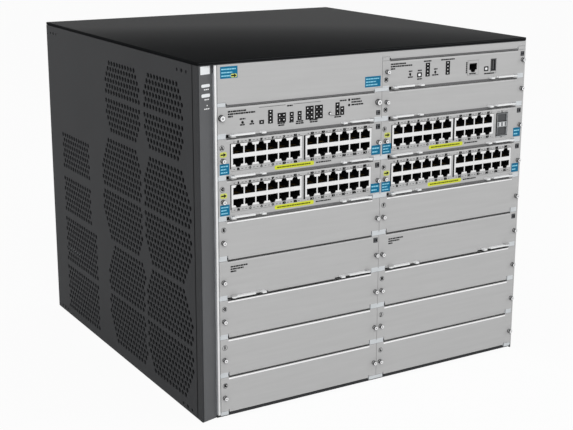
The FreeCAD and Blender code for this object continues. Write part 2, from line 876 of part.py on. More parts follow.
def bezel_strip():
    """Moulded strip whose face falls back toward the modules, hollow behind."""
    low = wall + gap
    width = bezel_width - wall - gap * 2
    height = chassis_height - lip_height - gap * 2
    body = new_body("bezel_strip", (left_face + low, front, gap))
    outline = new_sketch(body, "outline", "XY_Plane")
    polygon(outline, [(0, gap), (width, bezel_slant), (width, bezel_depth), (0, bezel_depth)])
    extrude(body, "Pad", outline, height, False)
    hollow = new_sketch(body, "hollow", "XZ_Plane", -bezel_depth)
    rectangle(hollow, (wall, width - wall), (wall * 2, height - wall * 2))
    before = body.Shape.Volume
    extrude(body, "Pocket", hollow, bezel_depth - bezel_slant - wall, True)
    if body.Shape.Volume >= before:
        raise RuntimeError("the bezel is not hollow")
    return keep(body, "bezel_strip")


def upper_panel():
    """L-shaped sheet above the support module that reaches over the right column as a strip."""
    body = new_body("upper_front_panel", (left_column.low, front, rows[8] + row_gap / 2))
    right = right_column.high - left_column.low
    inner = left_column.width
    start = right_column.low - left_column.low
    step = management_pitch
    top = chassis_height - lip_height - gap - rows[8] - row_gap / 2
    outline = new_sketch(body, "outline", "XZ_Plane")
    polygon(outline, [
        (0, notch_height), (notch_width, notch_height), (notch_width, tongue_low),
        (inner - notch_width, tongue_low), (inner - notch_width, notch_height), (inner, notch_height),
        (inner, step + notch_height), (start + notch_width, step + notch_height),
        (start + notch_width, step + tongue_low), (right - notch_width, step + tongue_low),
        (right - notch_width, step + notch_height), (right, step + notch_height), (right, top), (0, top)])
    pad_back(body, outline, panel_sheet)
    inset = notch_width + relief_width
    add_return(body, "lower_return", (inset, inner - inset), (tongue_low, tongue_low + panel_sheet))
    add_return(body, "strip_return", (start + inset, right - inset),
               (step + tongue_low, step + tongue_low + panel_sheet))
    return keep(body, "upper_front_panel")


def blank_panels():
    covers = []
    for row, pair in LETTERS.items():
        for column, letter in zip(columns, pair):
            covers.append(blank_panel("blank_panel_" + letter, column, row))
    return group(covers, "blank_panels")


# ---------------------------------------------------------------- card cage and backplane

def cage_walls():
    """Left edge of each upright sheet of the card cage."""
    outer = left_column.low - frame_reveal + gap
    divider = seam_offset - cage_sheet / 2
    inner = inner_right - gap - cage_sheet
    return outer, divider, inner


def ledge_level(row):
    return rows[row] + ledge_rise, rows[row] + ledge_rise + ledge_sheet


def cage_upright(side, low, spans):
    """Upright sheet with a window for each row and the guide ledges that carry the module trays."""
    start = frame_face() + cage_sheet
    back = front + cage_depth
    sheet = fuse("cage_sheet_" + side, [
        box("cage_foot_" + side, (low, low + cage_sheet), (pan_front() + wall + gap, back), (wall, rows[9])),
        box("cage_edge_" + side, (low, low + cage_sheet), (start, back), (pan_lip + gap, rows[9]))])
    windows = []
    for row in range(8):
        windows.append(box("cage_window_%s_%d" % (side, row), (low - 1, low + cage_sheet + 1),
                           (front + cage_slot_front, back - cage_slot_back),
                           (rows[row] + cage_slot_low, rows[row + 1] - cage_slot_high)))
    pieces = [cut("cage_wall_" + side, sheet, windows)]
    for index, (span, levels) in enumerate(spans):
        for row in range(levels):
            pieces.append(box("cage_ledge_%s_%d_%d" % (side, index, row), span,
                              (front + ledge_setback, back), ledge_level(row)))
    return fuse("cage_upright_" + side, pieces)


def cage_uprights():
    """Left, middle and right uprights; the left column has one row fewer."""
    outer, divider, inner = cage_walls()
    return [
        cage_upright("left", outer, [((outer, left_column.low + ledge_reach), 8)]),
        cage_upright("middle", divider, [((left_column.high - ledge_reach, divider + cage_sheet), 8),
                                         ((divider, right_column.low + ledge_reach), 9)]),
        cage_upright("right", inner, [((right_column.high - ledge_reach, inner + cage_sheet), 9)])]


def cage_frame():
    """Posts behind the faceplate edges under one head rail, with tabs that fill the faceplates' notches."""
    outer, divider, inner = cage_walls()
    face = frame_face()
    back = face + cage_sheet
    foot = pan_lip + gap
    head = chassis_height - lip_height - gap
    rail = rows[9] + row_gap / 2 + notch_height
    right_end = inner + cage_sheet
    posts = {
        "left": (outer, left_column.low + notch_width),
        "middle": (left_column.high - notch_width, right_column.low + notch_width),
        "right": (right_column.high - notch_width, right_end)}
    pieces = [box("cage_head", (outer, right_end), (face, back), (rail, head))]
    for side, span in posts.items():
        pieces.append(box("cage_post_" + side, span, (face, back), (foot, head)))
        pieces += cage_tabs(side, tab_span(side, span), back)
    return fuse("cage_frame", pieces)


def tab_span(side, post):
    low = left_column.low if side == "left" else post[0] + gap
    high = right_column.high if side == "right" else post[1] - gap
    return low, high


def cage_tabs(side, span, back):
    """Tabs of one post; above the top row only the right column has them."""
    found = []
    for level in range(10):
        if level == 9 and side == "left":
            continue
        low = right_column.low + gap if level == 9 and side == "middle" else span[0]
        found.append(box("cage_tab_%s_%d" % (side, level), (low, span[1]), (front + tab_reveal, back),
                         (rows[level] - row_gap / 2 + gap, rows[level] + row_gap / 2 + notch_height - gap)))
    return found


def cage_roofs():
    """Sheets that join the uprights: over the right column, and lower down over the left one."""
    outer, divider, inner = cage_walls()
    span = (front + roof_setback, front + cage_depth)
    return [
        box("cage_roof", (outer, inner + cage_sheet), span, (rows[9], rows[9] + cage_sheet)),
        box("cage_left_roof", (outer + cage_sheet, divider), span, ledge_level(8))]


def card_cage():
    return group(cage_uprights() + [cage_frame()] + cage_roofs(), "card_cage")


def backplane():
    """Board behind the card cage with one connector for each slot."""
    outer, divider, inner = cage_walls()
    near = front + cage_depth
    pieces = [box("backplane_sheet", (outer, inner + cage_sheet), (near, near + backplane_sheet),
                  (rows[0], rows[9]))]
    for column in columns:
        middle = (column.low + column.high) / 2
        for row in range(9):
            if column is left_column and row == 8:
                continue
            level = rows[row] + row_gap / 2 + board_level() + board_sheet
            pieces.append(box("backplane_connector_%s_%d" % (column.name, row),
                              (middle - connector_width / 2, middle + connector_width / 2),
                              (front + module_depth + 1, near), (level, level + connector_height)))
    return keep(fuse("backplane", pieces), "backplane")


# ---------------------------------------------------------------- rear of the chassis

def bay_left(index):
    return bay_pitch * (index - 2) + (bay_pitch - supply_width) / 2


def supply_floor():
    return wall + gap


def exhaust_slots(near, far):
    """Two rows of upright slots through the rear sheet, above the fan tray."""
    slots = []
    for index in range(exhaust_count):
        middle = exhaust_pitch * (index - (exhaust_count - 1) / 2)
        for step in range(2):
            low = exhaust_bottom + (exhaust_height + exhaust_gap) * step
            slots.append(box("exhaust_%d_%d" % (index, step),
                             (middle - exhaust_width / 2, middle + exhaust_width / 2), (near, far),
                             (low, low + exhaust_height)))
    return slots


def rear_panel():
    """Rear sheet with the power bays, the fan tray opening and its shelf, and exhaust slots."""
    top = chassis_height - cover_skirt
    sheet = box("rear_sheet", (inner_left, inner_right), (rear - wall, rear), (wall, top))
    near, far = rear - wall - 1, rear + 1
    tools = exhaust_slots(near, far)
    for index in range(4):
        low = bay_left(index) - bay_side_gap
        tools.append(box("bay_opening_%d" % index, (low, low + supply_width + bay_side_gap * 2), (near, far),
                         (wall, supply_floor() + supply_height + bay_side_gap)))
    half = fan_tray_width / 2 + bay_side_gap
    tools.append(box("fan_opening", (-half, half), (near, far),
                     (tray_bottom - gap, tray_bottom + tray_height + bay_side_gap)))
    panel = cut("rear_sheet_open", sheet, tools)
    shelf = box("fan_shelf", (inner_left, inner_right), (rear - tray_depth - shelf_overhang, rear),
                (tray_bottom - gap - wall, tray_bottom - gap))
    return keep(fuse("rear_panel", [panel, shelf]), "rear_panel")


def power_supply(name, index):
    """Boxed supply, open at its inner end, with an inlet, air slots and a bail handle."""
    low = bay_left(index)
    high = low + supply_width
    floor = supply_floor()
    roof = floor + supply_height
    near = rear - supply_depth
    shell = supply_shell
    inner_end = rear - inlet_depth - shell
    inlet_low = low + inlet_side
    inlet_base = floor + inlet_rise
    block = box(name + "_case", (low, high), (near, rear), (floor, roof))
    tools = [
        box(name + "_room", (low + shell, high - shell), (near - 1, inner_end),
            (floor + shell, roof - shell)),
        box(name + "_inlet", (inlet_low, inlet_low + inlet_width), (rear - inlet_depth, rear + 1),
            (inlet_base, inlet_base + inlet_height))]
    for slot in range(air_slots):
        across = low + air_start + air_pitch * slot
        tools.append(box("%s_air_%d" % (name, slot), (across, across + air_width), (inner_end - 1, rear + 1),
                         (floor + air_rise, floor + air_rise + air_height)))
    case = cut(name + "_open", block, tools)
    pins = supply_pins(name, inlet_low + inlet_width / 2, inlet_base + inlet_height / 2)
    bail = supply_bail(name, (low + high) / 2, roof - bail_drop)
    return keep(fuse(name, [case] + pins + bail), name)


def supply_pins(name, across, level):
    """Two power blades and the earth blade at the bottom of the inlet."""
    start = rear - inlet_depth
    spots = ((-prong_spread, -prong_drop), (prong_spread, -prong_drop), (0, prong_lift))
    pieces = []
    for index, (right, up) in enumerate(spots):
        pieces.append(box("%s_prong_%d" % (name, index),
                          (across + right - prong_sheet / 2, across + right + prong_sheet / 2),
                          (start - supply_shell / 2, rear - inlet_depth / 3),
                          (level + up - prong_height / 2, level + up + prong_height / 2)))
    return pieces


def supply_bail(name, across, level):
    """Fixed bail handle: two legs and a grip bar."""
    half = bail_span / 2
    rod = bail_rod / 2
    pieces = []
    for side, offset in (("left", -half), ("right", half)):
        pieces.append(box("%s_bail_%s" % (name, side), (across + offset - rod, across + offset + rod),
                          (rear - supply_shell / 2, rear + bail_reach), (level - rod, level + rod)))
    pieces.append(box(name + "_grip", (across - half - rod, across + half + rod),
                      (rear + bail_reach - bail_rod, rear + bail_reach), (level - rod, level + rod)))
    return pieces


def power_bay_covers():
    """Plates over the two empty power bays, each with a finger tab."""
    covers = []
    width = supply_width + cover_margin * 2
    height = supply_height + cover_margin * 2
    for index in (2, 3):
        corner = (bay_left(index) - cover_margin, rear + panel_sheet, supply_floor())
        body = new_body("power_bay_cover_%d" % (index + 1), corner)
        outline = new_sketch(body, "outline", "XZ_Plane")
        rectangle(outline, (0, width), (0, height))
        extrude(body, "Pad", outline, panel_sheet, False)
        finger = new_sketch(body, "finger_tab", "XZ_Plane", -fold_depth)
        rectangle(finger, (width / 3, width * 2 / 3), (height / 2, height / 2 + panel_sheet))
        extrude(body, "Pad", finger, fold_depth + panel_sheet / 2, False)
        covers.append(body)
    return group(covers, "power_bay_covers")


def fan_centres():
    level = tray_bottom + tray_height / 2
    return [(fan_pitch * (index - 1), level) for index in range(3)]


def rotor_end():
    """Rear end of the rotor hubs."""
    return rear - wall - hub_setback


def fan_tray():
    """Pull-out tray: rear plate with three guarded openings, floor, ends and a shaft for each rotor."""
    half = fan_tray_width / 2
    base = tray_bottom
    top = base + tray_height
    near = rear - tray_depth
    shell = [
        box("tray_plate", (-half, half), (rear - wall, rear), (base, top)),
        box("tray_floor", (-half, half), (near, rear), (base, base + wall)),
        box("tray_left_end", (-half, wall - half), (near, rear), (base, top)),
        box("tray_right_end", (half - wall, half), (near, rear), (base, top)),
        box("tray_handle", (-handle_width / 2, handle_width / 2), (rear - wall / 2, rear + handle_reach),
            (top - handle_drop, top - handle_drop + wall))]
    openings = []
    guards = []
    for index, centre in enumerate(fan_centres()):
        openings.append(cylinder("fan_hole_%d" % index, fan_radius + tip_gap, "y", centre,
                                 (rear - wall - 1, rear + 1)))
        guards += fan_guard(index, centre)
    plate = cut("tray_open", fuse("tray_shell", shell), openings)
    return keep(fuse("fan_tray", [plate] + guards), "fan_tray")


def fan_guard(index, centre):
    """Two crossing bars, a square boss and the rotor's shaft."""
    across, level = centre
    span = (rear - wall, rear)
    reach = fan_radius + tip_gap + 1
    half = guard_bar / 2
    return [
        box("guard_bar_a_%d" % index, (across - reach, across + reach), span, (level - half, level + half)),
        box("guard_bar_b_%d" % index, (across - half, across + half), span, (level - reach, level + reach)),
        box("guard_boss_%d" % index, (across - boss_half, across + boss_half), (rotor_end() + gap, rear),
            (level - boss_half, level + boss_half)),
        cylinder("fan_shaft_%d" % index, shaft_radius, "y", centre, (rotor_end() - hub_length, rear))]


def fan_rotor(index, centre):
    """Hub on its shaft with five pitched blades."""
    name = "fan_rotor_%d" % (index + 1)
    end = rotor_end()
    middle = end - hub_length / 2
    root = hub_radius - blade_root
    chord = hub_length * blade_chord
    hub = cylinder(name + "_hub", hub_radius, "y", centre, (end - hub_length, end))
    blades = []
    for turn in range(blade_count):
        blade = doc.addObject("Part::Box", "%s_blade_%d" % (name, turn))
        blade.setExpression("Length", (fan_radius - root).text)
        blade.setExpression("Width", chord.text)
        blade.setExpression("Height", blade_sheet.text)
        pitch = FreeCAD.Rotation(FreeCAD.Vector(1, 0, 0), blade_pitch)
        around = FreeCAD.Rotation(FreeCAD.Vector(0, 1, 0), 360.0 * turn / blade_count)
        blade.Placement.Rotation = around.multiply(pitch)
        start = around.multVec(FreeCAD.Vector(1, 0, 0))
        lift = blade.Placement.Rotation.multVec(FreeCAD.Vector(0, 1, 0))
        shift = chord / 2
        place(blade, (centre[0] + root * start.x - shift * lift.x, middle - shift * lift.y,
                      centre[1] + root * start.z - shift * lift.z))
        blades.append(blade)
    bore = cylinder(name + "_bore", shaft_radius + running_gap, "y", centre, (end - hub_length - 1, end + 1))
    return keep(cut(name, fuse(name + "_solid", [hub] + blades), [bore]), name)


# ---------------------------------------------------------------- assembly

def line_module(letter, column, row, layout, extra_windows=()):
    name = "line_module_" + letter
    module(name, column, row, jack_windows(layout) + list(extra_windows))
    board("line_board_" + letter, column, row)
    jacks("port_jacks_" + letter, column, row, layout)


left_layout = gang_layout(gang_spacing, left_column.width - gang_end)
right_layout = gang_layout(gang_spacing, right_column.width - gang_end)
short_layout = gang_layout(short_gang_spacing, optical_left - optical_spacing)
optical_window = ((optical_left - gap, optical_left + cage_width + gap),
                  (socket_level() - gap, socket_level() + gang_height + gap))
reset_along = size("reset_along", 30.2)
clear_along = size("clear_along", 41.7)
select_along = size("select_along", 139.7)
shutdown_along = size("shutdown_along", 39)
restart_along = size("restart_along", 75)

# shell
punches = fuse("side_punches", vent_cutters() + ear_cutters())
base_pan()
top_cover()
left_side_wall(punches)
right_side_wall(punches)
rear_panel()
bezel_strip()
upper_panel()
blank_panels()
card_cage()
backplane()

# line modules
line_module("a", left_column, 6, left_layout)
line_module("b", right_column, 6, short_layout, [optical_window])
line_module("c", left_column, 5, left_layout)
line_module("d", right_column, 5, right_layout)
optical_cage("optical_cage", right_column, 6)

# fabric modules
module("fabric_module_1", left_column, 3, raised=True)
module("fabric_module_2", right_column, 3, raised=True)

# support module with its three buttons
support_buttons = (("reset", reset_along, reset_radius, -1), ("clear", clear_along, reset_radius, -1),
                   ("select", select_along, select_radius, 0.9))
support_holes = [((along, button_height), radius + gap) for name, along, radius, out in support_buttons]
module("support_module", left_column, 7, (), support_holes)
board("support_board", left_column, 7,
      [button_housing(name + "_switch", left_column, 7, along, radius)
       for name, along, radius, out in support_buttons])
for name, along, radius, out in support_buttons:
    button(name + "_button", left_column, 7, along, radius, out)

# management module with its console jack, USB socket and two buttons
management_buttons = (("shutdown", shutdown_along), ("restart", restart_along))
console_base = socket_level()
console_window = ((console_left - gap, console_left + console_width + gap),
                  (console_base - gap, console_base + console_height + gap))
usb_window = ((usb_left - gap, usb_left + usb_width + gap), console_window[1])
module("management_module", right_column, 8, (console_window, usb_window),
       [((along, button_height), reset_radius + gap) for name, along in management_buttons])


def management_sockets():
    """Console jack and upright USB socket on the management board."""
    base = rows[8] + row_gap / 2 + console_base
    levels = (base, base + console_height)
    block = new_body("console_block", (right_column.low + console_left, front, base))
    outline = new_sketch(block, "outline", "XZ_Plane")
    rectangle(outline, (0, console_width), (0, console_height))
    pad_back(block, outline, gang_depth)
    mouth = new_sketch(block, "mouth", "XZ_Plane")
    polygon(mouth, port_points(console_width / 2, latch_height + socket_floor, -1))
    pocket_back(block, mouth, port_depth)
    low = right_column.low + usb_left
    middle = low + usb_width / 2
    shell = box("usb_block", (low, low + usb_width), (front, front + gang_depth), levels)
    slot = box("usb_slot", (middle - usb_slot_width / 2, middle + usb_slot_width / 2),
               (front - 1, front + usb_slot_depth),
               (base + socket_floor, base + socket_floor + usb_slot_height))
    return [block, cut("usb_socket", shell, [slot])]


board("management_board", right_column, 8,
      management_sockets() + [button_housing(name + "_switch", right_column, 8, along, reset_radius)
                              for name, along in management_buttons])
for name, along in management_buttons:
    button(name + "_button", right_column, 8, along, reset_radius, -1)
module("management_filler", right_column, 7)

# ejector levers, a pair on each module
LEVER_PLACES = {
    "a": (left_column, 6), "b": (right_column, 6), "c": (left_column, 5), "d": (right_column, 5),
    "support": (left_column, 7), "management": (right_column, 8), "filler": (right_column, 7),
    "fabric_1": (left_column, 3), "fabric_2": (right_column, 3)}
for name, (column, row) in LEVER_PLACES.items():
    for side in ("left", "right"):
        lever("lever_%s_%s" % (name, side), column, row, side)

# rear units
for index in range(2):
    power_supply("power_supply_%d" % (index + 1), index)
power_bay_covers()
fan_tray()
for index, centre in enumerate(fan_centres()):
    fan_rotor(index, centre)


# ---------------------------------------------------------------- checks and files

def check_document():
    doc.recompute()
    for item in doc.Objects:
        if "Invalid" in item.State or "Error" in item.State:
            raise RuntimeError("failed object: %s %s" % (item.Name, item.State))
    for item in nodes:
        if item.Shape.isNull() or not item.Shape.isValid():
            raise RuntimeError("bad shape: " + item.Label)


def write_parts():
    total = 0
    for item in nodes:
        item.Shape.exportStep("parts/%s.step" % item.Label)
        total += item.Shape.Volume
    print("%d sub-parts, %.0f cm3" % (len(nodes), total / 1000))


check_document()
write_parts()
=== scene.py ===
"""Looks of a modular chassis switch: fine perforation, jacks, screws, lamps, labels and finishes."""
import math

import bmesh
import bpy
from mathutils import Euler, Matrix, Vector

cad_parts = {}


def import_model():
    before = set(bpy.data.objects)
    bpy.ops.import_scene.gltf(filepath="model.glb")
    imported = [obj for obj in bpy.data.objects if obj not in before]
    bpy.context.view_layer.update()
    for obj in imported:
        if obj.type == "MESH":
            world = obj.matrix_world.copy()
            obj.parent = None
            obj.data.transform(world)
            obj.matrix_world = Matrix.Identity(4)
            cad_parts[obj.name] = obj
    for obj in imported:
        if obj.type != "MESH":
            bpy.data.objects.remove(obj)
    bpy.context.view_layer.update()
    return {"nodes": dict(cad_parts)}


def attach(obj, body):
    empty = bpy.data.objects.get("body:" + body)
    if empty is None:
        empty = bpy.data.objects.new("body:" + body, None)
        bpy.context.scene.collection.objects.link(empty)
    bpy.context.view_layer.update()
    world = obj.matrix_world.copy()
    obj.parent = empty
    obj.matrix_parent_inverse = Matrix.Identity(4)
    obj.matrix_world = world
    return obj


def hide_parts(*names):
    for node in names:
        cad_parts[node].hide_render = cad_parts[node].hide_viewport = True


MM = 0.001
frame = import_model()

# Sizes that the solids share, in millimetres.
HALF = 222.25
FRONT = -225.0
REAR = 225.0
WALL = 1.5
ROWS = [3.4, 48.27, 93.14, 138.01, 182.88, 227.75, 272.62, 317.49, 351.99, 386.49]
LEFT = (-199.5, 9.75)
RIGHT = (10.25, 220.25)


# ---------------------------------------------------------------- materials

class Graph:
    """A small helper that adds and joins shader nodes."""

    def __init__(self, name):
        self.material = bpy.data.materials.new(name)
        self.material.use_nodes = True
        self.tree = self.material.node_tree
        self.shader = self.tree.nodes["Principled BSDF"]
        self.place = self.add("ShaderNodeTexCoord").outputs["Object"]

    def add(self, kind, **values):
        node = self.tree.nodes.new(kind)
        for key, value in values.items():
            if hasattr(node, key):
                setattr(node, key, value)
            else:
                node.inputs[key.replace("_", " ")].default_value = value
        return node

    def join(self, out, into):
        self.tree.links.new(out, into)

    def noise(self, scale, stretch=(1, 1, 1), detail=3.0):
        move = self.add("ShaderNodeMapping")
        move.inputs["Scale"].default_value = stretch
        self.join(self.place, move.inputs["Vector"])
        node = self.add("ShaderNodeTexNoise", Scale=scale, Detail=detail)
        self.join(move.outputs["Vector"], node.inputs["Vector"])
        return node.outputs["Fac"]

    def ramp(self, source, low, high, start=0.3, end=0.7):
        node = self.add("ShaderNodeValToRGB")
        node.color_ramp.elements[0].position = start
        node.color_ramp.elements[1].position = end
        node.color_ramp.elements[0].color = low
        node.color_ramp.elements[1].color = high
        self.join(source, node.inputs["Fac"])
        return node.outputs["Color"]

    def spread(self, source, low, high):
        node = self.add("ShaderNodeMapRange")
        node.inputs["To Min"].default_value = low
        node.inputs["To Max"].default_value = high
        self.join(source, node.inputs["Value"])
        return node.outputs["Result"]

    def bump(self, source, strength, distance):
        node = self.add("ShaderNodeBump", Strength=strength, Distance=distance)
        self.join(source, node.inputs["Height"])
        self.join(node.outputs["Normal"], self.shader.inputs["Normal"])


def linear(code):
    """An sRGB hex colour as linear values."""
    parts = [int(code[i:i + 2], 16) / 255 for i in (0, 2, 4)]
    return tuple(c / 12.92 if c <= 0.04045 else ((c + 0.055) / 1.055) ** 2.4 for c in parts)


def finish(name, code, vary=0.06, metal=0.0, rough=(0.4, 0.55), grain=900, stretch=(1, 1, 1), relief=0.08,
           cloud=14, coat=0.0, specular=0.5):
    """A finish with broad cloudiness, fine grain in the roughness and a slight relief."""
    g = Graph(name)
    colour = linear(code)
    low = tuple(c * (1 - vary) for c in colour) + (1,)
    high = tuple(min(1, c * (1 + vary)) for c in colour) + (1,)
    g.join(g.ramp(g.noise(cloud, stretch), low, high), g.shader.inputs["Base Color"])
    fine = g.noise(grain, stretch)
    g.join(g.spread(fine, rough[0], rough[1]), g.shader.inputs["Roughness"])
    if relief:
        g.bump(fine, relief, 0.0002)
    g.shader.inputs["Metallic"].default_value = metal
    g.shader.inputs["Coat Weight"].default_value = coat
    g.shader.inputs["Specular IOR Level"].default_value = specular
    return g.material


def socketed_board():
    """Green board whose front end, with the sockets, is black plastic."""
    g = Graph("socketed_board")
    apart = g.add("ShaderNodeSeparateXYZ")
    g.join(g.place, apart.inputs["Vector"])
    step = g.add("ShaderNodeMath", operation="GREATER_THAN")
    step.inputs[1].default_value = (FRONT + 24) * MM
    g.join(apart.outputs["Y"], step.inputs[0])
    mix = g.add("ShaderNodeMix", data_type="RGBA")
    g.join(step.outputs["Value"], mix.inputs["Factor"])
    black, green = linear("0e0e0f") + (1,), linear("1d4a2c") + (1,)
    cloudy = g.ramp(g.noise(120), tuple(0.85 * c for c in green[:3]) + (1,), green)
    rgba = [socket for socket in mix.inputs if socket.type == "RGBA"]
    rgba[0].default_value = black
    g.join(cloudy, rgba[1])
    out = [socket for socket in mix.outputs if socket.type == "RGBA"][0]
    g.join(out, g.shader.inputs["Base Color"])
    fine = g.noise(600)
    g.join(g.spread(fine, 0.35, 0.55), g.shader.inputs["Roughness"])
    g.bump(fine, 0.06, 0.0002)
    return g.material


COAT = finish("charcoal_powder_coat", "343537", 0.05, rough=(0.42, 0.6), grain=1600, relief=0.25, specular=0.2)
COVER = finish("cover_powder_coat", "1a1b1c", 0.05, rough=(0.28, 0.4), grain=1600, relief=0.1, specular=0.3)
COVER.node_tree.nodes["Principled BSDF"].inputs["IOR"].default_value = 1.03
BEZEL = finish("bezel_grey_plastic", "5b5c5e", 0.04, rough=(0.45, 0.6), grain=2200, relief=0.12, specular=0.35)
PLATE = finish("faceplate_satin_grey", "b6b6b6", 0.025, rough=(0.42, 0.56), grain=700, stretch=(1, 1, 16),
               relief=0.05, specular=0.35)
ZINC = finish("bright_zinc", "d3d7da", 0.05, metal=0.35, rough=(0.3, 0.5), grain=260, cloud=60, relief=0.06)
STEEL = finish("satin_steel", "b9bcbe", 0.05, metal=0.8, rough=(0.3, 0.48), grain=400, stretch=(1, 1, 10), relief=0.05)
LEVER = finish("bright_lever_metal", "f1f2f3", 0.03, metal=0.2, rough=(0.25, 0.4), grain=500, stretch=(1, 8, 8),
               relief=0.04)
SHIELD = finish("jack_shield", "ececec", 0.03, metal=0.1, rough=(0.3, 0.45), grain=900, relief=0.03)
# Moulded black of buttons and lamp surrounds, and also painted shadow: the seats round the screws and dark lines in
# the seams.
BLACK_AND_SHADE = finish("moulded_black_and_painted_shade", "131314", 0.2, rough=(0.4, 0.6), grain=1200, relief=0.1, specular=0.3)
# Black sheets behind the perforation that stand in for the shade inside the chassis.
VOID = finish("painted_shade_liner", "040404", 0.3, rough=(0.6, 0.8), grain=1200, relief=0.05, specular=0.05)
# Black of the jack wells, lamp windows and dots, and also painted shade: dark lines in the seams, strips over the
# faceplates' top returns and the line above the cover's lip.
WELL_AND_SHADE = finish("jack_well_black_and_painted_shade", "0b0b0c", 0.3, rough=(0.5, 0.7), grain=1200, relief=0.05, specular=0.2)
GOLD = finish("contact_gold", "7c6434", 0.08, metal=1.0, rough=(0.4, 0.55), grain=1500, relief=0.0)
BOARD = finish("green_board", "1d4a2c", 0.12, rough=(0.35, 0.5), grain=600, cloud=120, relief=0.06, coat=0.3)
SOCKETS = socketed_board()
BLUE = finish("blue_label", "006a90", 0.06, rough=(0.45, 0.6), grain=800, relief=0.02, specular=0.2)
SKY = finish("pale_blue_print", "8fcfe2", 0.05, rough=(0.45, 0.6), grain=800, relief=0.0, specular=0.2)
LIME = finish("lime_label", "cfd52a", 0.05, rough=(0.4, 0.5), grain=800, relief=0.02)
PALE_LIME = finish("pale_lime_label", "c9cf62", 0.05, rough=(0.4, 0.5), grain=800, relief=0.02)
OLIVE = finish("olive_print", "5c5f0c", 0.1, rough=(0.5, 0.6), grain=800, relief=0.0, specular=0.2)
INK = finish("printed_ink", "161617", 0.15, rough=(0.5, 0.6), grain=800, relief=0.0, specular=0.15)
FAINT = finish("faint_print", "5e5f63", 0.1, rough=(0.5, 0.6), grain=800, relief=0.0, specular=0.2)
WHITE = finish("white_print", "f4f5f6", 0.02, rough=(0.45, 0.55), grain=800, relief=0.0)
LENS = finish("pale_lamp_lens", "eceff1", 0.03, rough=(0.15, 0.25), grain=300, relief=0.02, coat=0.4)
DARK = finish("shadowed_steel", "4a4b4d", 0.06, metal=0.3, rough=(0.45, 0.6), grain=500, relief=0.05)
SHADE = finish("shaded_plate", "6f6f70", 0.04, rough=(0.5, 0.62), grain=700, relief=0.03, specular=0.2)
# Pale grey of the screw recesses, and also a weaker painted highlight on some seams' folds.
PALE_AND_HIGHLIGHT = finish("pale_plate_and_painted_highlight", "c6c6c6", 0.03, rough=(0.4, 0.5), grain=700, relief=0.03, specular=0.35)
# A painted highlight along the rounded top folds of the faceplates.
FOLD_HIGHLIGHT = finish("painted_fold_highlight", "fdfdfd", 0.01, rough=(0.3, 0.4), grain=700, relief=0.02)
HEAD = finish("polished_screw_head", "f4f4f5", 0.04, metal=0.15, rough=(0.25, 0.4), grain=500, relief=0.03)


# ---------------------------------------------------------------- mesh building

class Piece:
    """Collects closed forms, each with its material, and turns them into one object."""

    def __init__(self, name):
        self.name = name
        self.points = []
        self.faces = []
        self.marks = []
        self.materials = []

    def slot_of(self, material):
        if material not in self.materials:
            self.materials.append(material)
        return self.materials.index(material)

    def add(self, points, faces, material):
        start = len(self.points)
        self.points += [(x * MM, y * MM, z * MM) for x, y, z in points]
        self.faces += [[start + i for i in face] for face in faces]
        self.marks += [self.slot_of(material)] * len(faces)

    def block(self, x, y, z, material):
        points = [(a, b, c) for a in x for b in y for c in z]
        faces = [(0, 1, 3, 2), (4, 6, 7, 5), (0, 4, 5, 1), (2, 3, 7, 6), (0, 2, 6, 4), (1, 5, 7, 3)]
        self.add(points, faces, material)

    def prism(self, outline, y, material):
        """An outline in X and Z, counter-clockwise seen from the front, extruded along Y."""
        n = len(outline)
        points = [(a, y[0], c) for a, c in outline] + [(a, y[1], c) for a, c in outline]
        faces = [tuple(range(n)), tuple(range(2 * n - 1, n - 1, -1))]
        faces += [((i + 1) % n, i, n + i, n + (i + 1) % n) for i in range(n)]
        self.add(points, faces, material)

    def rail(self, x, outline, material):
        """An outline in Y and Z extruded along X."""
        n = len(outline)
        points = [(x[0], b, c) for b, c in outline] + [(x[1], b, c) for b, c in outline]
        faces = [tuple(range(n)), tuple(range(2 * n - 1, n - 1, -1))]
        faces += [((i + 1) % n, i, n + i, n + (i + 1) % n) for i in range(n)]
        self.add(points, faces, material)

    def turned(self, centre, profile, material, axis="y", sides=24):
        """A profile of (radius, distance along the axis) turned about an axis through the centre."""
        points = []
        for radius, along in profile:
            for k in range(sides):
                turn = 2 * math.pi * k / sides
                a, b = radius * math.cos(turn), radius * math.sin(turn)
                if axis == "y":
                    points.append((centre[0] + a, centre[1] + along, centre[2] + b))
                elif axis == "x":
                    points.append((centre[0] + along, centre[1] + a, centre[2] + b))
                else:
                    points.append((centre[0] + a, centre[1] + b, centre[2] + along))
        faces = []
        for ring in range(len(profile) - 1):
            for k in range(sides):
                a = ring * sides + k
                b = ring * sides + (k + 1) % sides
                faces.append((a, b, b + sides, a + sides))
        faces.append(tuple(range(sides - 1, -1, -1)))
        last = (len(profile) - 1) * sides
        faces.append(tuple(range(last, last + sides)))
        self.add(points, faces, material)

    def make(self, body, slot=None, replaces=(), smooth=False, bevel=0.0):
        mesh = bpy.data.meshes.new(self.name)
        mesh.from_pydata(self.points, [], self.faces)
        for material in self.materials:
            mesh.materials.append(material)
        mesh.polygons.foreach_set("material_index", self.marks)
        made = bpy.data.objects.new(self.name, mesh)
        bpy.context.scene.collection.objects.link(made)
        work = bmesh.new()
        work.from_mesh(mesh)
        bmesh.ops.recalc_face_normals(work, faces=work.faces)
        if bevel:
            edges = [e for e in work.edges if len(e.link_faces) == 2 and e.calc_face_angle(0) > 0.6]
            bmesh.ops.bevel(work, geom=edges, offset=bevel * MM, segments=2, profile=0.5, affect="EDGES",
                            clamp_overlap=True)
        work.to_mesh(mesh)
        work.free()
        if smooth or bevel:
            mesh.shade_smooth()
            mesh.set_sharp_from_angle(angle=math.radians(35))
        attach(made, body)
        if replaces:
            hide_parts(*replaces)
        return made


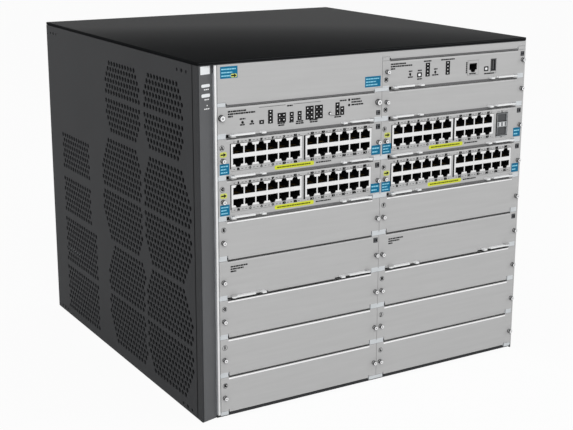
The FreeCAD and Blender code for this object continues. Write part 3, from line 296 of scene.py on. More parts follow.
def rounded(x0, x1, z0, z1, radius=0.6, steps=3):
    """A rectangle's outline with rounded corners."""
    outline = []
    corners = ((x1 - radius, z0 + radius, -90), (x1 - radius, z1 - radius, 0),
               (x0 + radius, z1 - radius, 90), (x0 + radius, z0 + radius, 180))
    for x, z, start in corners:
        for k in range(steps):
            turn = math.radians(start + 90 * k / (steps - 1))
            outline.append((x + radius * math.cos(turn), z + radius * math.sin(turn)))
    return outline


def tag(piece, x0, x1, z0, z1, material, lift=0.12, face=FRONT, radius=0.3):
    """A thin flat label, mark or lamp window on a face that looks forward."""
    piece.prism(rounded(x0, x1, z0, z1, min(radius, (x1 - x0) / 2.2, (z1 - z0) / 2.2)), (face - lift, face), material)


def words(piece, x, z, lengths, height=1.3, pitch=2.4, material=INK, face=FRONT):
    """Lines of small print, each drawn as short strokes."""
    for line, length in enumerate(lengths):
        along = x
        step = 0
        while along < x + length:
            run = (3.1, 2.2, 4.0, 1.7)[(step + line) % 4]
            end = min(along + run, x + length)
            if end - along > 0.6:
                base = z - line * pitch
                tag(piece, along, end, base, base + height, material, 0.04, face, 0.2)
            along = end + 0.35
            step += 1


def glyphs(piece, text, x, z, height, material=INK, face=FRONT, bold=0.12, wide=1.0):
    """Plain numerals or slot letters, centred on a point, with strokes widened by bold."""
    curve = bpy.data.curves.new("glyphs", "FONT")
    curve.body = text
    curve.size = height * 1.35 * MM
    curve.offset = bold * MM
    curve.align_x = "CENTER"
    curve.align_y = "CENTER"
    curve.resolution_u = 1
    holder = bpy.data.objects.new("glyphs", curve)
    bpy.context.scene.collection.objects.link(holder)
    bpy.context.view_layer.update()
    mesh = bpy.data.meshes.new_from_object(holder.evaluated_get(bpy.context.evaluated_depsgraph_get()))
    points = [(x + wide * v.co.x / MM, face - 0.05, z + v.co.y / MM) for v in mesh.vertices]
    piece.add(points, [tuple(p.vertices) for p in mesh.polygons], material)
    bpy.data.objects.remove(holder)
    bpy.data.curves.remove(curve)
    bpy.data.meshes.remove(mesh)


def ring(piece, x, z, radius, width, material, lift=0.06, face=FRONT, sides=28):
    """A thin printed circle."""
    points = []
    for r in (radius, radius - width):
        for k in range(sides):
            turn = 2 * math.pi * k / sides
            points.append((x + r * math.cos(turn), face - lift, z + r * math.sin(turn)))
    faces = [(k, (k + 1) % sides, sides + (k + 1) % sides, sides + k) for k in range(sides)]
    piece.add(points, faces, material)


def dot(piece, x, z, radius, material, lift=0.08, face=FRONT, sides=16):
    """A round mark."""
    outline = [(x + radius * math.cos(2 * math.pi * k / sides), z + radius * math.sin(2 * math.pi * k / sides))
               for k in range(sides)]
    piece.prism(outline, (face - lift, face), material)


def slot_letter(piece, letter, x, z):
    """A slot's letter inside a thin circle."""
    glyphs(piece, letter, x, z, 2.9, bold=0.6)
    ring(piece, x, z, 3.1, 0.5, DARK)


# ---------------------------------------------------------------- perforated side walls

PITCH = 8.1
RISE = 7.03
FIELD_GAP = 12.0


def field(centre, heights, counts, shifts=()):
    """Rows of vent holes, each as (middle, height, number of holes)."""
    rows = []
    for index, (height, count) in enumerate(zip(heights, counts)):
        rows.append((centre + dict(shifts).get(index, 0.0), height, count))
    return rows


def levels(top, count):
    return [top - RISE * k for k in range(count)]


def vent_rows():
    """Every row of the wall's perforation, measured from the front and the base."""
    half = PITCH / 2
    rows = []
    for centre in (87.3, 200.0):
        rows += field(centre, levels(371.0, 6), (10, 11, 12, 13, 12, 13))
        rows += field(centre, levels(324.7, 6), (13, 12, 13, 12, 11, 10))
    upper = (11, 12, 13, 14, 15, 15, 15, 15, 15)
    lower = (15, 15, 15, 15, 15, 14, 13, 12, 11)
    for front_centre, rear_centre, tops in ((83.4, 205.5, (275.2, 208.2)), (83.3, 195.2, (140.6, 73.6))):
        for centre, shift in ((front_centre, -half), (rear_centre, half)):
            rows += field(centre, levels(tops[0], 9), upper, ((5, shift), (7, shift)))
            rows += field(centre, levels(tops[1], 9), lower, ((1, shift), (3, shift)))
    small = (12, 11, 12, 11, 12, 11, 12)
    rows += field(359.4, levels(255.4, 7), small)
    rows += field(359.4, levels(195.4, 7), small)
    tall = (14, 13, 14, 13, 14, 13, 14, 13, 14)
    rows += field(351.5, levels(138.9, 9), tall)
    rows += field(351.5, levels(70.2, 9), tall)
    return rows


def punched_sheet(piece, outer, inner, span, height, cells, material, sides=12):
    """A flat sheet across X with a round hole in each cell: (along, height, half width, half height, radius)."""
    def flip(face):
        return tuple(reversed(face))

    for along, level, wide, tall, radius in cells:
        ring = []
        for k in range(sides):
            turn = math.radians(-45 + 360 * k / sides)
            ring.append((along + radius * math.cos(turn), level + radius * math.sin(turn)))
        corners = [(along + wide, level - tall), (along + wide, level + tall),
                   (along - wide, level + tall), (along - wide, level - tall)]
        points = [(outer, a, b) for a, b in corners + ring] + [(inner, a, b) for a, b in corners + ring]
        size = 4 + sides
        quarter = sides // 4
        faces = []
        for side in range(4):
            arc = [4 + (side * quarter + k) % sides for k in range(quarter + 1)]
            loop = (side, (side + 1) % 4) + tuple(reversed(arc))
            faces.append(loop)
            faces.append(flip(tuple(size + i for i in loop)))
        for k in range(sides):
            a, b = 4 + k, 4 + (k + 1) % sides
            faces.append((a, b, size + b, size + a))
        piece.add(points, faces, material)
    cuts = sorted(set([height[0], height[1]] + [c[1] - c[3] for c in cells] + [c[1] + c[3] for c in cells]))
    cuts = [cuts[0]] + [b for a, b in zip(cuts, cuts[1:]) if b - a > 1e-4]
    for low, high in zip(cuts, cuts[1:]):
        middle = (low + high) / 2
        taken = sorted((c[0] - c[2], c[0] + c[2]) for c in cells if c[1] - c[3] < middle < c[1] + c[3])
        start = span[0]
        for a, b in taken + [(span[1], span[1])]:
            if a - start > 1e-3:
                points = [(x, y, z) for x in (outer, inner) for y, z in
                          ((start, low), (a, low), (a, high), (start, high))]
                piece.add(points, [(0, 1, 2, 3), (7, 6, 5, 4)], material)
            start = max(start, b)
    (a, b), (low, high) = span, height
    points = [(x, y, z) for x in (outer, inner) for y, z in ((a, low), (b, low), (b, high), (a, high))]
    piece.add(points, [(i, (i + 1) % 4, 4 + (i + 1) % 4, 4 + i) for i in range(4)], material)


def wall_cells():
    cells = []
    for middle, level, count in vent_rows():
        beside = [cell[0] for cell in cells if abs(cell[1] - level) < RISE / 2]
        for k in range(count):
            along = FRONT + middle + PITCH * (k - (count - 1) / 2)
            if all(abs(along - other) > FIELD_GAP for other in beside):
                cells.append((along, level, PITCH / 2, RISE / 2, 3.0))
    for level in (5.0, 387.0):
        for along, radius in ((27, 2.0), (38, 2.4), (49, 2.0), (415, 1.6), (425, 2.0), (435, 1.6)):
            cells.append((FRONT + along, level, 3.4, 3.2, radius))
    return cells


def side_walls():
    cells = wall_cells()
    top = 396.5 - 0.35
    left = Piece("left_side_perforated")
    punched_sheet(left, -HALF, -HALF + WALL, (FRONT + 0.5, REAR), (0, top), cells, COAT)
    left.block((-HALF, -HALF + 18.95), (FRONT + 12, FRONT + 13.5), (WALL, top), COAT)
    left.make("chassis", "shell", ["left_side_wall"])
    right = Piece("right_side_perforated")
    punched_sheet(right, HALF, HALF - WALL, (FRONT + 0.5, REAR), (0, top), cells, COAT)
    right.make("chassis", "shell", ["right_side_wall"])


# ---------------------------------------------------------------- jacks

PORT_WIDE = 12.8
UPPER_MOUTH = (18.6, 26.5)
LOWER_MOUTH = (7.0, 13.9)
LATCH_WIDE, LATCH_NARROW, LATCH_TALL = 7.8, 4.7, 2.9
PORT_PITCH = 14.2
GANG_TALL = 29.5
SKIRT = 5.0


def port_outline(x, mouth, up, wide=PORT_WIDE):
    """A jack's mouth with its latch notch, counter-clockwise."""
    w, z, h = wide / 2, mouth[0], mouth[1] - mouth[0]
    n, t, m = LATCH_WIDE / 2, LATCH_NARROW / 2, LATCH_TALL
    if up:
        return [(x - w, z), (x + w, z), (x + w, z + h), (x + n, z + h), (x + t, z + h + m),
                (x - t, z + h + m), (x - n, z + h), (x - w, z + h)]
    return [(x - w, z), (x - n, z), (x - t, z - m), (x + t, z - m), (x + n, z), (x + w, z),
            (x + w, z + h), (x - w, z + h)]


def port_frame(piece, outline, cell, face, depth, low_material=SHIELD, low_edge=None):
    """The face round one mouth, split at its corners, and the black well behind the mouth."""
    x0, x1, z0, z1 = cell
    levels = sorted(set([z0, z1] + [b for a, b in outline] + ([low_edge] if low_edge else [])))
    for low, high in zip(levels, levels[1:]):
        middle = (low + high) / 2
        material = low_material if low_edge and middle < low_edge else SHIELD
        sides = crossings(outline, low + 1e-4), crossings(outline, high - 1e-4)
        if not sides[0]:
            piece.prism([(x0, low), (x1, low), (x1, high), (x0, high)], (face, face + 1.0), material)
            continue
        (a0, a1), (b0, b1) = sides
        piece.prism([(x0, low), (a0, low), (b0, high), (x0, high)], (face, face + 1.0), material)
        piece.prism([(a1, low), (x1, low), (x1, high), (b1, high)], (face, face + 1.0), material)
    count = len(outline)
    points = [(a, face + 0.4, b) for a, b in outline] + [(a, face + depth, b) for a, b in outline]
    faces = [(i, (i + 1) % count, count + (i + 1) % count, count + i) for i in range(count)]
    faces.append(tuple(range(count, 2 * count)))
    piece.add(points, faces, WELL_AND_SHADE)


def crossings(outline, level):
    """Where a level line enters and leaves an outline."""
    found = []
    for (a, b), (c, d) in zip(outline, outline[1:] + outline[:1]):
        if (b - level) * (d - level) < 0:
            found.append(a + (c - a) * (level - b) / (d - b))
    return (min(found), max(found)) if found else None


def port_contacts(piece, x, level):
    """Eight spring contacts on the side of the mouth opposite the latch."""
    for k in range(8):
        along = x - 3.6 + k * 1.03
        piece.block((along, along + 0.4), (FRONT + 5.5, FRONT + 12), (level, level + 0.35), GOLD)


def port_numbers(marks, number, x, base):
    """The numbers above and below a pair of jacks, between short dashes."""
    for value, level in ((number, base + GANG_TALL + 2.1), (number + 1, base + 1.9)):
        glyphs(marks, str(value), x, level, 2.0, bold=0.5, wide=1.5)
        for side in (-1, 1):
            tag(marks, x + side * 4.9 - 1.1, x + side * 4.9 + 1.1, level - 0.35, level + 0.35, DARK, 0.05)


def jack_bank(letter, column, row, layout):
    """The jacks of one line module and their frame lines; returns the piece for its other marks."""
    name = "line_module_%s_body" % letter
    base = ROWS[row] + 1 + 7.4
    piece = Piece("jack_bank_" + letter)
    marks = Piece("port_marks_" + letter)
    number = 1
    for start, count in layout:
        low = column[0] + start
        high = low + 17 + PORT_PITCH * (count - 1)
        half = GANG_TALL / 2
        for k in range(count):
            x = low + 8.5 + PORT_PITCH * k
            x0 = low if k == 0 else x - PORT_PITCH / 2
            x1 = high if k == count - 1 else x + PORT_PITCH / 2
            upper = [base + level for level in UPPER_MOUTH]
            lower = [base + level for level in LOWER_MOUTH]
            port_frame(piece, port_outline(x, upper, True), (x0, x1, base + half, base + GANG_TALL), FRONT, 15.0)
            port_frame(piece, port_outline(x, lower, False), (x0, x1, base, base + half), FRONT, 15.0,
                       PLATE, base + SKIRT)
            port_contacts(piece, x, upper[0] + 0.5)
            port_contacts(piece, x, lower[1] - 0.9)
            port_numbers(marks, number, x, base)
            number += 2
        tag(marks, low - 0.8, high + 0.8, base + GANG_TALL + 0.1, base + GANG_TALL + 0.6, INK, 0.1)
        wide = 1.2 if start == layout[0][0] else 2.1
        tag(marks, low - 0.2 - wide, low - 0.2, base + 2.5, base + GANG_TALL + 0.6, INK, 0.1, radius=0.1)
    piece.make(name, "socket", ["port_jacks_" + letter])
    return marks


# ---------------------------------------------------------------- modules

def screw(piece, x, z, radius=2.45, proud=4.5, face=FRONT):
    """A captive screw: a dark seat and side painted as the shadow round the proud head, a bright rim and a grey
    recess.
    """
    # The black seat is painted shadow round the head.
    piece.turned((x, face, z), [(radius * 1.05, 0.0), (radius * 1.05, -0.25), (radius * 0.8, -0.3)], BLACK_AND_SHADE)
    piece.turned((x, face, z), [(radius * 0.8, -0.2), (radius * 0.8, -proud * 0.55)], PLATE)
    piece.turned((x, face, z), [(radius * 0.95, -proud * 0.5), (radius, -proud * 0.55), (radius, -proud * 0.92),
                                (radius * 0.84, -proud)], DARK)
    piece.turned((x, face, z), [(radius * 0.86, -proud * 0.9), (radius * 0.86, -proud - 0.06),
                                (radius * 0.8, -proud - 0.08)], HEAD)
    piece.turned((x, face, z), [(radius * 0.45, -proud * 0.95), (radius * 0.45, -proud - 0.14),
                                (radius * 0.4, -proud - 0.14)], PALE_AND_HIGHLIGHT, sides=16)
    piece.turned((x, face, z), [(radius * 0.2, -proud * 0.95), (radius * 0.2, -proud - 0.2),
                                (radius * 0.15, -proud - 0.2)], DARK, sides=12)


def lamp(piece, x, z, wide=4.6, tall=4.6, glyph=0):
    """A black lamp window with a small pale mark."""
    tag(piece, x - wide / 2 - 0.2, x + wide / 2 + 0.2, z - tall / 2 - 0.2, z + tall / 2 + 0.2, WELL_AND_SHADE, 0.14,
        radius=0.4)
    shapes = ((0.65, 0.6), (0.9, 0.4), (0.4, 0.8), (0.75, 0.55))
    a, b = shapes[glyph % 4]
    tag(piece, x - a, x + a, z - b, z + b, WHITE, 0.2)


def code_square(piece, x, z, size=6.0):
    """A small dark square patch with a lighter pattern."""
    tag(piece, x - size / 2, x + size / 2, z - size / 2, z + size / 2, INK, 0.08)
    for i in range(4):
        for j in range(4):
            if (i * 3 + j * 5 + i * j) % 3 == 0:
                a = x - size / 2 + 0.5 + i * (size - 1) / 4
                b = z - size / 2 + 0.5 + j * (size - 1) / 4
                tag(piece, a, a + 1.1, b, b + 1.1, FAINT, 0.12)


def blue_tag(piece, x0, x1, z0, z1, lines):
    """A blue label with pale strokes of print."""
    tag(piece, x0, x1, z0, z1, BLUE, 0.1)
    height = (z1 - z0) / (lines + 0.6)
    for k in range(lines):
        z = z1 - height * (k + 1.0)
        reach = (x1 - x0 - 2.4) * (0.95, 0.72, 0.86)[k % 3]
        words(piece, x0 + 1.2, z, [reach], height * 0.36, 1, SKY, FRONT - 0.1)


def arrow_tag(piece, x0, x1, z0, z1):
    """A lime label with a plain arrow."""
    tag(piece, x0, x1, z0, z1, PALE_LIME, 0.12, radius=1.6)
    x, z = (x0 + x1) / 2, (z0 + z1) / 2
    tag(piece, x - 3.2, x + 0.9, z - 0.75, z + 0.75, INK, 0.16)
    piece.prism([(x + 0.2, z - 2.2), (x + 3.3, z), (x + 0.2, z + 2.2)], (FRONT - 0.17, FRONT - 0.1), INK)


def line_module(letter, column, row, layout, side):
    """Screws, labels, jacks and print of one line module."""
    marks = jack_bank(letter, column, row, layout)
    middle = (ROWS[row] + ROWS[row + 1]) / 2
    base = ROWS[row]
    low, high = column
    screw(marks, low + (5.2 if side == "left" else 6.0), middle - 1.6)
    screw(marks, high - (3.8 if side == "left" else 2.5), middle - 1.9)
    slot_letter(marks, letter.upper(), low + 4.4, middle + 12.2)
    shift = 0 if side == "left" else 2.4
    arrow_tag(marks, low + 2.0 + shift, low + 10.2 + shift, base + 24.5, base + 30.3)
    blue_tag(marks, low + 1.6, low + 13.2 + shift * 0.4, base + 5.4, base + 17.4, 3)
    blue_tag(marks, high - (13.0 if side == "left" else 11.8), high - 0.6, base + 6.2, base + 17.2, 2)
    code_square(marks, high - 4.3, base + 38.6)
    start = low + 68.9
    tag(marks, start, start + 50.4, base + 3.9, base + 8.6, LIME, 0.1, radius=1.4)
    words(marks, start + 3, base + 5.4, [43], 1.5, 1, OLIVE, FRONT - 0.1)
    words(marks, start + 53, base + 5.4, [20], 1.5, 1)
    marks.make("line_module_%s_body" % letter, "faceplate")


def line_modules():
    full = ((15.5, 6), (108.2, 6))
    short = ((15.5, 6), (106.4, 4))
    line_module("a", LEFT, 6, full, "left")
    line_module("b", RIGHT, 6, short, "right")
    line_module("c", LEFT, 5, full, "left")
    line_module("d", RIGHT, 5, full, "right")


def optical_pair():
    """Flap doors, spring fingers and a bright bridge on the two optical slots."""
    piece = Piece("optical_slots")
    x0, x1 = 180.75, 198.5
    for z0, z1 in ((283.12, 292.72), (299.62, 309.22)):
        piece.prism([(182.6, z0 + 0.1), (196.6, z0 + 0.1), (195.4, z1 - 0.3), (183.8, z1 - 0.3)],
                    (FRONT + 0.6, FRONT + 1.2), DARK)
        piece.block((182.53, 196.73), (FRONT + 1.4, FRONT + 2.0), (z0, z1), WELL_AND_SHADE)
    piece.block((182.0, 197.4), (FRONT - 0.5, FRONT + 0.3), (293.0, 299.4), STEEL)
    for k in range(5):
        a = 183.2 + k * 2.9
        piece.block((a, a + 1.2), (FRONT - 0.65, FRONT + 0.2), (293.9, 298.6), (DARK, HEAD)[k % 2])
    for z in (292.6, 299.4):
        piece.block((x0 + 1.4, x1 - 0.6), (FRONT - 0.45, FRONT + 0.2), (z, z + 0.5), INK)
    piece.block((x1 - 0.9, x1 - 0.1), (FRONT - 0.45, FRONT + 0.2), (282.4, 310.0), DARK)
    for z in (282.2, 309.6):
        piece.block((x0 + 0.2, x1 - 0.2), (FRONT - 0.45, FRONT + 0.2), (z, z + 0.8), INK)
    piece.block((x0 - 0.3, x0 + 1.2), (FRONT - 0.5, FRONT + 0.2), (282.2, 310.4), INK)
    piece.make("line_module_b_body", "zinc")
    marks = Piece("optical_marks")
    for level, value in ((311.9, 21), (281.2, 22)):
        glyphs(marks, str(value), 189.6, level, 2.3, bold=0.2)
        for side in (-1, 1):
            tag(marks, 189.6 + side * 6 - 2.5, 189.6 + side * 6 + 2.5, level - 0.25, level + 0.25, FAINT, 0.05)
    marks.make("line_module_b_body", "faceplate")


def support_marks():
    """Lamps, legends and screws on the support module."""
    piece = Piece("support_marks")
    for x in (LEFT[0] + 3.9, LEFT[1] - 5.3):
        screw(piece, x, 339.6, 3.3)
    words(piece, -187.5, 344.7, [22, 33, 6], 1.8, 2.7)
    for x in (-170, -158.5):
        dot(piece, x, 332.8, 1.5, WELL_AND_SHADE)
        words(piece, x - 3.0, 329.4, [6], 1.6, 1)
    words(piece, -173.4, 335.8, [7], 1.6, 1)
    lamp(piece, -146.7, 331, 5.4, 4.0, 1)
    for k in range(4):
        lamp(piece, -135.8, 341.4 - 3.75 * k, 5.6, 3.3, k)
    for i in range(2):
        for j in range(2):
            lamp(piece, -124.4 + 5.3 * i, 336.2 - 5.3 * j, 4.9, 4.7, i + 2 * j)
            lamp(piece, -109.2 + 10 * i, 336.2 - 5.2 * j, 4.7, 4.5, i + j)
    for i in range(4):
        for j in range(3):
            x = -88.9 + 5.2 * i + (1.5 if i > 1 else 0)
            lamp(piece, x, 340.7 - 5.0 * j, 4.7, 4.5, i + 3 * j)
    for k in range(3):
        lamp(piece, -50.0, 341.4 - 4.9 * k, 5.2, 4.5, k)
    for k in range(2):
        lamp(piece, -43.7, 336.5 - 4.9 * k, 5.0, 4.5, k + 1)
    words(piece, -47, 344.6, [9], 1.6, 1)
    for z in (345.4, 339.5):
        dot(piece, -34.5, z, 1.5, WELL_AND_SHADE)
    words(piece, -31.5, 344.7, [13, 14, 16], 1.7, 3.0)
    for x, z, run in ((-127, 326.6, 9.5), (-126, 324.4, 7.5), (-112.2, 326.9, 5.5), (-103.5, 326.6, 9),
                      (-104, 324.4, 10), (-86.5, 326.6, 11), (-86, 324.4, 10), (-54, 326.9, 9), (-115, 344.9, 7)):
        words(piece, x, z, [run], 1.6, 1)
    for x0, x1, z in ((-150, -117, 346.8), (-107, -72, 346.8), (-92, -69, 328.0), (-59, -41, 329.4)):
        tag(piece, x0, x1, z, z + 0.4, INK, 0.04)
    code_square(piece, 5.25, 327.4, 5.6)
    piece.make("support_module_body", "faceplate")
    cap = Piece("select_cap")
    cap.turned((-59.8, FRONT, 332.3), [(1.6, -0.95), (1.6, -1.05), (1.25, -1.2)], DARK, sides=24)
    cap.turned((-59.8, FRONT, 332.3), [(1.05, -1.1), (1.05, -1.35), (0.7, -1.4)], HEAD, sides=20)
    cap.make("select_button_body", "cap")


def socket_faces():
    """Plate-coloured faces with black mouths over the console jack and the USB socket."""
    piece = Piece("socket_faces")
    face = FRONT - 0.08
    outline = port_outline(141.25, (366.4, 374.2), False, 11.4)
    port_frame(piece, outline, (133.3, 149.2, 360.45, 377.35), face, 15.0, PLATE, 377.4)
    slot = [(169.2, 363.4), (174.9, 363.4), (174.9, 376.7), (169.2, 376.7)]
    port_frame(piece, slot, (168.3, 176.4, 362.9, 377.35), face, 13.0, DARK, 377.4)
    piece.block((168.3, 176.4), (face, face + 0.6), (360.45, 362.85), PLATE)
    piece.block((171.6, 173.8), (FRONT + 0.6, FRONT + 11), (364.4, 375.2), DARK)
    for k in range(4):
        z = 365.2 + 2.6 * k
        piece.block((171.25, 171.6), (FRONT + 2, FRONT + 10), (z, z + 1.2), GOLD)
    piece.make("management_module_body", "socket")


def management_marks():
    piece = Piece("management_marks")
    screw(piece, RIGHT[0] + 6.2, 373.0)
    screw(piece, RIGHT[1] - 2.5, 373.3)
    words(piece, 21.5, 380.2, [21, 30, 7], 1.7, 2.7)
    for x, z, run in ((46.8, 370.6, 5), (45.8, 363.8, 7), (83.0, 370.6, 5), (80.5, 363.8, 9), (59.6, 370.6, 6),
                      (59.0, 360.7, 7), (68, 380.6, 11), (93, 380.6, 20), (135.5, 361.2, 10), (158.5, 359.6, 15)):
        words(piece, x, z, [run], 1.5, 1, INK, FRONT - 0.08)
    for x in (48.9, 85.0):
        dot(piece, x, 368.0, 1.5, WELL_AND_SHADE)
    for x in (62.2, 161.3):
        tag(piece, x - 3.4, x + 3.4, 363.3, 369.1, BLACK_AND_SHADE, 0.14, radius=0.7)
        tag(piece, x - 1.7, x + 1.7, 364.8, 367.6, WHITE, 0.2, radius=0.8)
    for x in (73.9, 103.2):
        for k in range(4):
            lamp(piece, x, 377.4 - 4.0 * k, 5.8, 3.6, k)
    for k in range(6):
        tag(piece, 130.4, 132.2, 362.8 + 2.3 * k, 364.8 + 2.3 * k, INK, 0.05)
    slot_letter(piece, "M", RIGHT[0] + 5.2, 363.9)
    code_square(piece, 217.2, 380.8, 5.6)
    piece.make("management_module_body", "faceplate")
    filler = Piece("filler_marks")
    screw(filler, RIGHT[0] + 6.2, 338.3)
    screw(filler, RIGHT[1] - 2.5, 338.3)
    slot_letter(filler, "M", RIGHT[0] + 5.2, 329.4)
    filler.make("management_filler_body", "faceplate")


def fabric_marks():
    for index, column in ((1, LEFT), (2, RIGHT)):
        piece = Piece("fabric_marks_%d" % index)
        middle = (ROWS[3] + ROWS[4]) / 2
        drop = 2.1 if index == 1 else 2.6
        screw(piece, column[0] + 4.8, middle - drop)
        screw(piece, column[1] - (3.6 if index == 1 else 2.5), middle - drop)
        words(piece, column[0] + 13.5, 174.0, [21, 16, 7], 1.7, 2.7)
        code_square(piece, column[1] - 4.5, 176.5)
        piece.make("fabric_module_%d_body" % index, "faceplate")


def blank_marks():
    piece = Piece("blank_screws")
    for row, pair in ((4, "EF"), (2, "GH"), (1, "IJ"), (0, "KL")):
        middle = (ROWS[row] + ROWS[row + 1]) / 2
        for column, letter in zip((LEFT, RIGHT), pair):
            screw(piece, column[0] + 4.8, middle - 2.1)
            screw(piece, column[1] - (3.6 if column is LEFT else 2.5), middle - (2.1 if column is LEFT else 2.7))
            slot_letter(piece, letter, column[0] + 5.5, middle + 12)
    piece.make("chassis", "faceplate")


def panel_marks():
    """Labels on the upper panel."""
    piece = Piece("upper_panel_labels")
    blue_tag(piece, -196, -175.5, 381, 393.6, 3)
    arrow_tag(piece, -183.9, -176.2, 381.6, 385.6)
    blue_tag(piece, -13.5, 7.75, 357.4, 369.4, 3)
    piece.make("chassis", "faceplate")


# ---------------------------------------------------------------- seams between the rows, with painted shade and painted highlights

NOTCH = 10.05
MODULES = {
    ("left", 3): "fabric_module_1", ("right", 3): "fabric_module_2", ("left", 5): "line_module_c",
    ("right", 5): "line_module_d", ("left", 6): "line_module_a", ("right", 6): "line_module_b",
    ("left", 7): "support_module", ("right", 7): "management_filler", ("right", 8): "management_module",
}


def body_of(side, row):
    name = MODULES.get((side, row))
    return name + "_body" if name else "chassis"


def fold(piece, x, low, high, material):
    """A slightly rounded strip laid on the fold along the top of a faceplate, coloured as painted shade or painted
    highlight.
    """
    face = FRONT - 0.06
    piece.rail(x, [(face, low + 0.2), (face, high - 0.25), (face + 0.25, high), (face + 0.6, high),
                   (face + 0.6, low), (face + 0.2, low)], material)


def sill(piece, x, low, high, material, recess=0.0):
    """The folded lower edge of a faceplate: plate grey where it closes the gap, painted shade where it is set back."""
    face = FRONT + recess
    piece.rail(x, [(face, low + 0.3), (face, high), (face + 1.3, high), (face + 1.3, low),
                   (face + 0.3, low)], material)


def seam(side, row):
    """The joint between two rows drawn in painted shade, the fold below it with a painted highlight and the lower edge
    above it, partly in painted shade.
    """
    column = LEFT if side == "left" else RIGHT
    level = ROWS[row]
    below, above = body_of(side, row - 1), body_of(side, row)
    x = (column[0] + NOTCH, column[1] - NOTCH)
    lower = Piece("fold_%s_%d" % (side, row))
    upper = Piece("sill_%s_%d" % (side, row))
    # A black strip over the top return of the lower faceplate: painted shade that hides the return in the gap.
    lower.block(x, (FRONT + 1.6, FRONT + 8.8), (level - 0.25, level - 0.1), WELL_AND_SHADE)
    if (side, row) in MODULES and row != 3:
        # Module rows: painted shade lines and a painted highlight on the lower fold, and a painted shade band under
        # the upper faceplate.
        fold(lower, x, level - 1.8, level - 0.9, BLACK_AND_SHADE)
        fold(lower, x, level - 0.9, level - 0.2, SHADE)
        fold(lower, x, level - 3.7, level - 2.2, FOLD_HIGHLIGHT if below == "chassis" else PALE_AND_HIGHLIGHT)
        inner = (column[0] + 19.2, column[1] - 19.2)
        sill(upper, (column[0] + 13.3, column[1] - 13.3), level - 0.05, level + 1.9, SHADE, 0.35)
        sill(upper, inner, level + 1.9, level + 3.85, PLATE)
    elif below == "chassis":
        # Blank rows: a black painted shade line above a painted highlight on the lower fold.
        fold(lower, x, level - (1.8 if row == 3 else 1.4), level - 0.2, WELL_AND_SHADE)
        fold(lower, x, level - 3.8, level - (2.2 if row == 3 else 2.0), FOLD_HIGHLIGHT)
        edge = 60.3 if row == 3 else 11.1
        sill(upper, (column[0] + edge, column[1] - edge), level + 0.6, level + 2.35, PLATE)
        if row == 3:
            sill(upper, (column[0] + 10.2, column[0] + 60.2), level + 1.9, level + 3.85, PLATE)
            sill(upper, (column[1] - 60.2, column[1] - 10.2), level + 1.9, level + 3.85, PLATE)
    else:
        # Other rows: painted shade lines and a weaker painted highlight on the fold; where dark is the grey shade,
        # also a painted shade band under the faceplate.
        dark = BLACK_AND_SHADE if row == 4 else SHADE
        fold(lower, x, level - 1.9, level - 0.9, BLACK_AND_SHADE)
        fold(lower, x, level - 0.9, level - 0.2, dark)
        fold(lower, x, level - 3.6, level - 2.5, PALE_AND_HIGHLIGHT)
        inner = (column[0] + 11.1, column[1] - 11.1)
        if dark is SHADE:
            sill(upper, inner, level - 0.1, level + 0.9, SHADE, 0.35)
        sill(upper, inner, level + (0.3 if row == 4 else 0.9), level + 2.35, PLATE)
    lower.make(below, "faceplate")
    upper.make(above, "faceplate")


def tab_top(piece, column, row):
    """The part of a frame tab that stands above the notch."""
    level = ROWS[row]
    for x in ((column[0] + 0.3, column[0] + 9.5), (column[1] - 9.5, column[1] - 0.3)):
        piece.prism(rounded(x[0], x[1], level + 3.6, level + 5.1, 0.4), (FRONT - 0.05, FRONT + 0.1), ZINC)


def seams():
    for side, column in (("left", LEFT), ("right", RIGHT)):
        for row in range(1, 10):
            if (side, row) == ("left", 9):
                continue
            seam(side, row)
            if row < 9 and (side, row) != ("left", 8):
                tops = Piece("tab_tops_%s_%d" % (side, row))
                tab_top(tops, column, row)
                tops.make(body_of(side, row), "zinc")


def strip_tabs():
    """Plate-coloured faces on the two frame tabs below the top strip."""
    piece = Piece("strip_tabs")
    for x in ((RIGHT[0] + 0.32, RIGHT[0] + 9.43), (RIGHT[1] - 9.43, RIGHT[1] - 0.02)):
        piece.prism(rounded(x[0], x[1], ROWS[9] - 0.68, ROWS[9] + 3.48, 0.2), (FRONT + 0.1, FRONT + 0.25), PLATE)
    piece.make("chassis", "faceplate")


def lever_marks():
    """A rivet over each pivot and, on the neck between the grip and the tab of each lever, a plate-grey skin as
    painted shade.
    """
    names = {"line_module_": "", "support_module": "support", "fabric_module_": "fabric_",
             "management_module": "management", "management_filler": "filler"}
    for (side, row), module in MODULES.items():
        stem = [(k, v) for k, v in names.items() if module.startswith(k)][0]
        short = stem[1] + module[len(stem[0]):]
        column = LEFT if side == "left" else RIGHT
        for end, sign, start in (("left", 1, column[0]), ("right", -1, column[1])):
            piece = Piece("lever_trim_%s_%s" % (short, end))
            base = ROWS[row] + 2.3
            near, far = sorted((start + sign * 43.2, start + sign * 49.6))
            # Painted shade: a plate-grey skin dulls the bright neck, which sits in shade.
            piece.rail((near, far), [(FRONT - 2.15, base + 0.05), (FRONT - 2.15, base + 1.75),
                                     (FRONT - 1.9, base + 1.85), (FRONT - 1.9, base - 0.05)], PLATE)
            piece.turned((start + sign * 16, FRONT - 3.2, base + 1.8),
                         [(1.7, -0.05), (1.7, 0.35), (1.2, 0.65)], STEEL, axis="z", sides=16)
            piece.make("lever_%s_%s_body" % (short, end), "lever")


# ---------------------------------------------------------------- cover and bezel

def bezel_face(x):
    """Where the slanted face of the bezel lies."""
    return FRONT + 0.3 + 4.2 * (x + HALF - 1.8) / 17.15


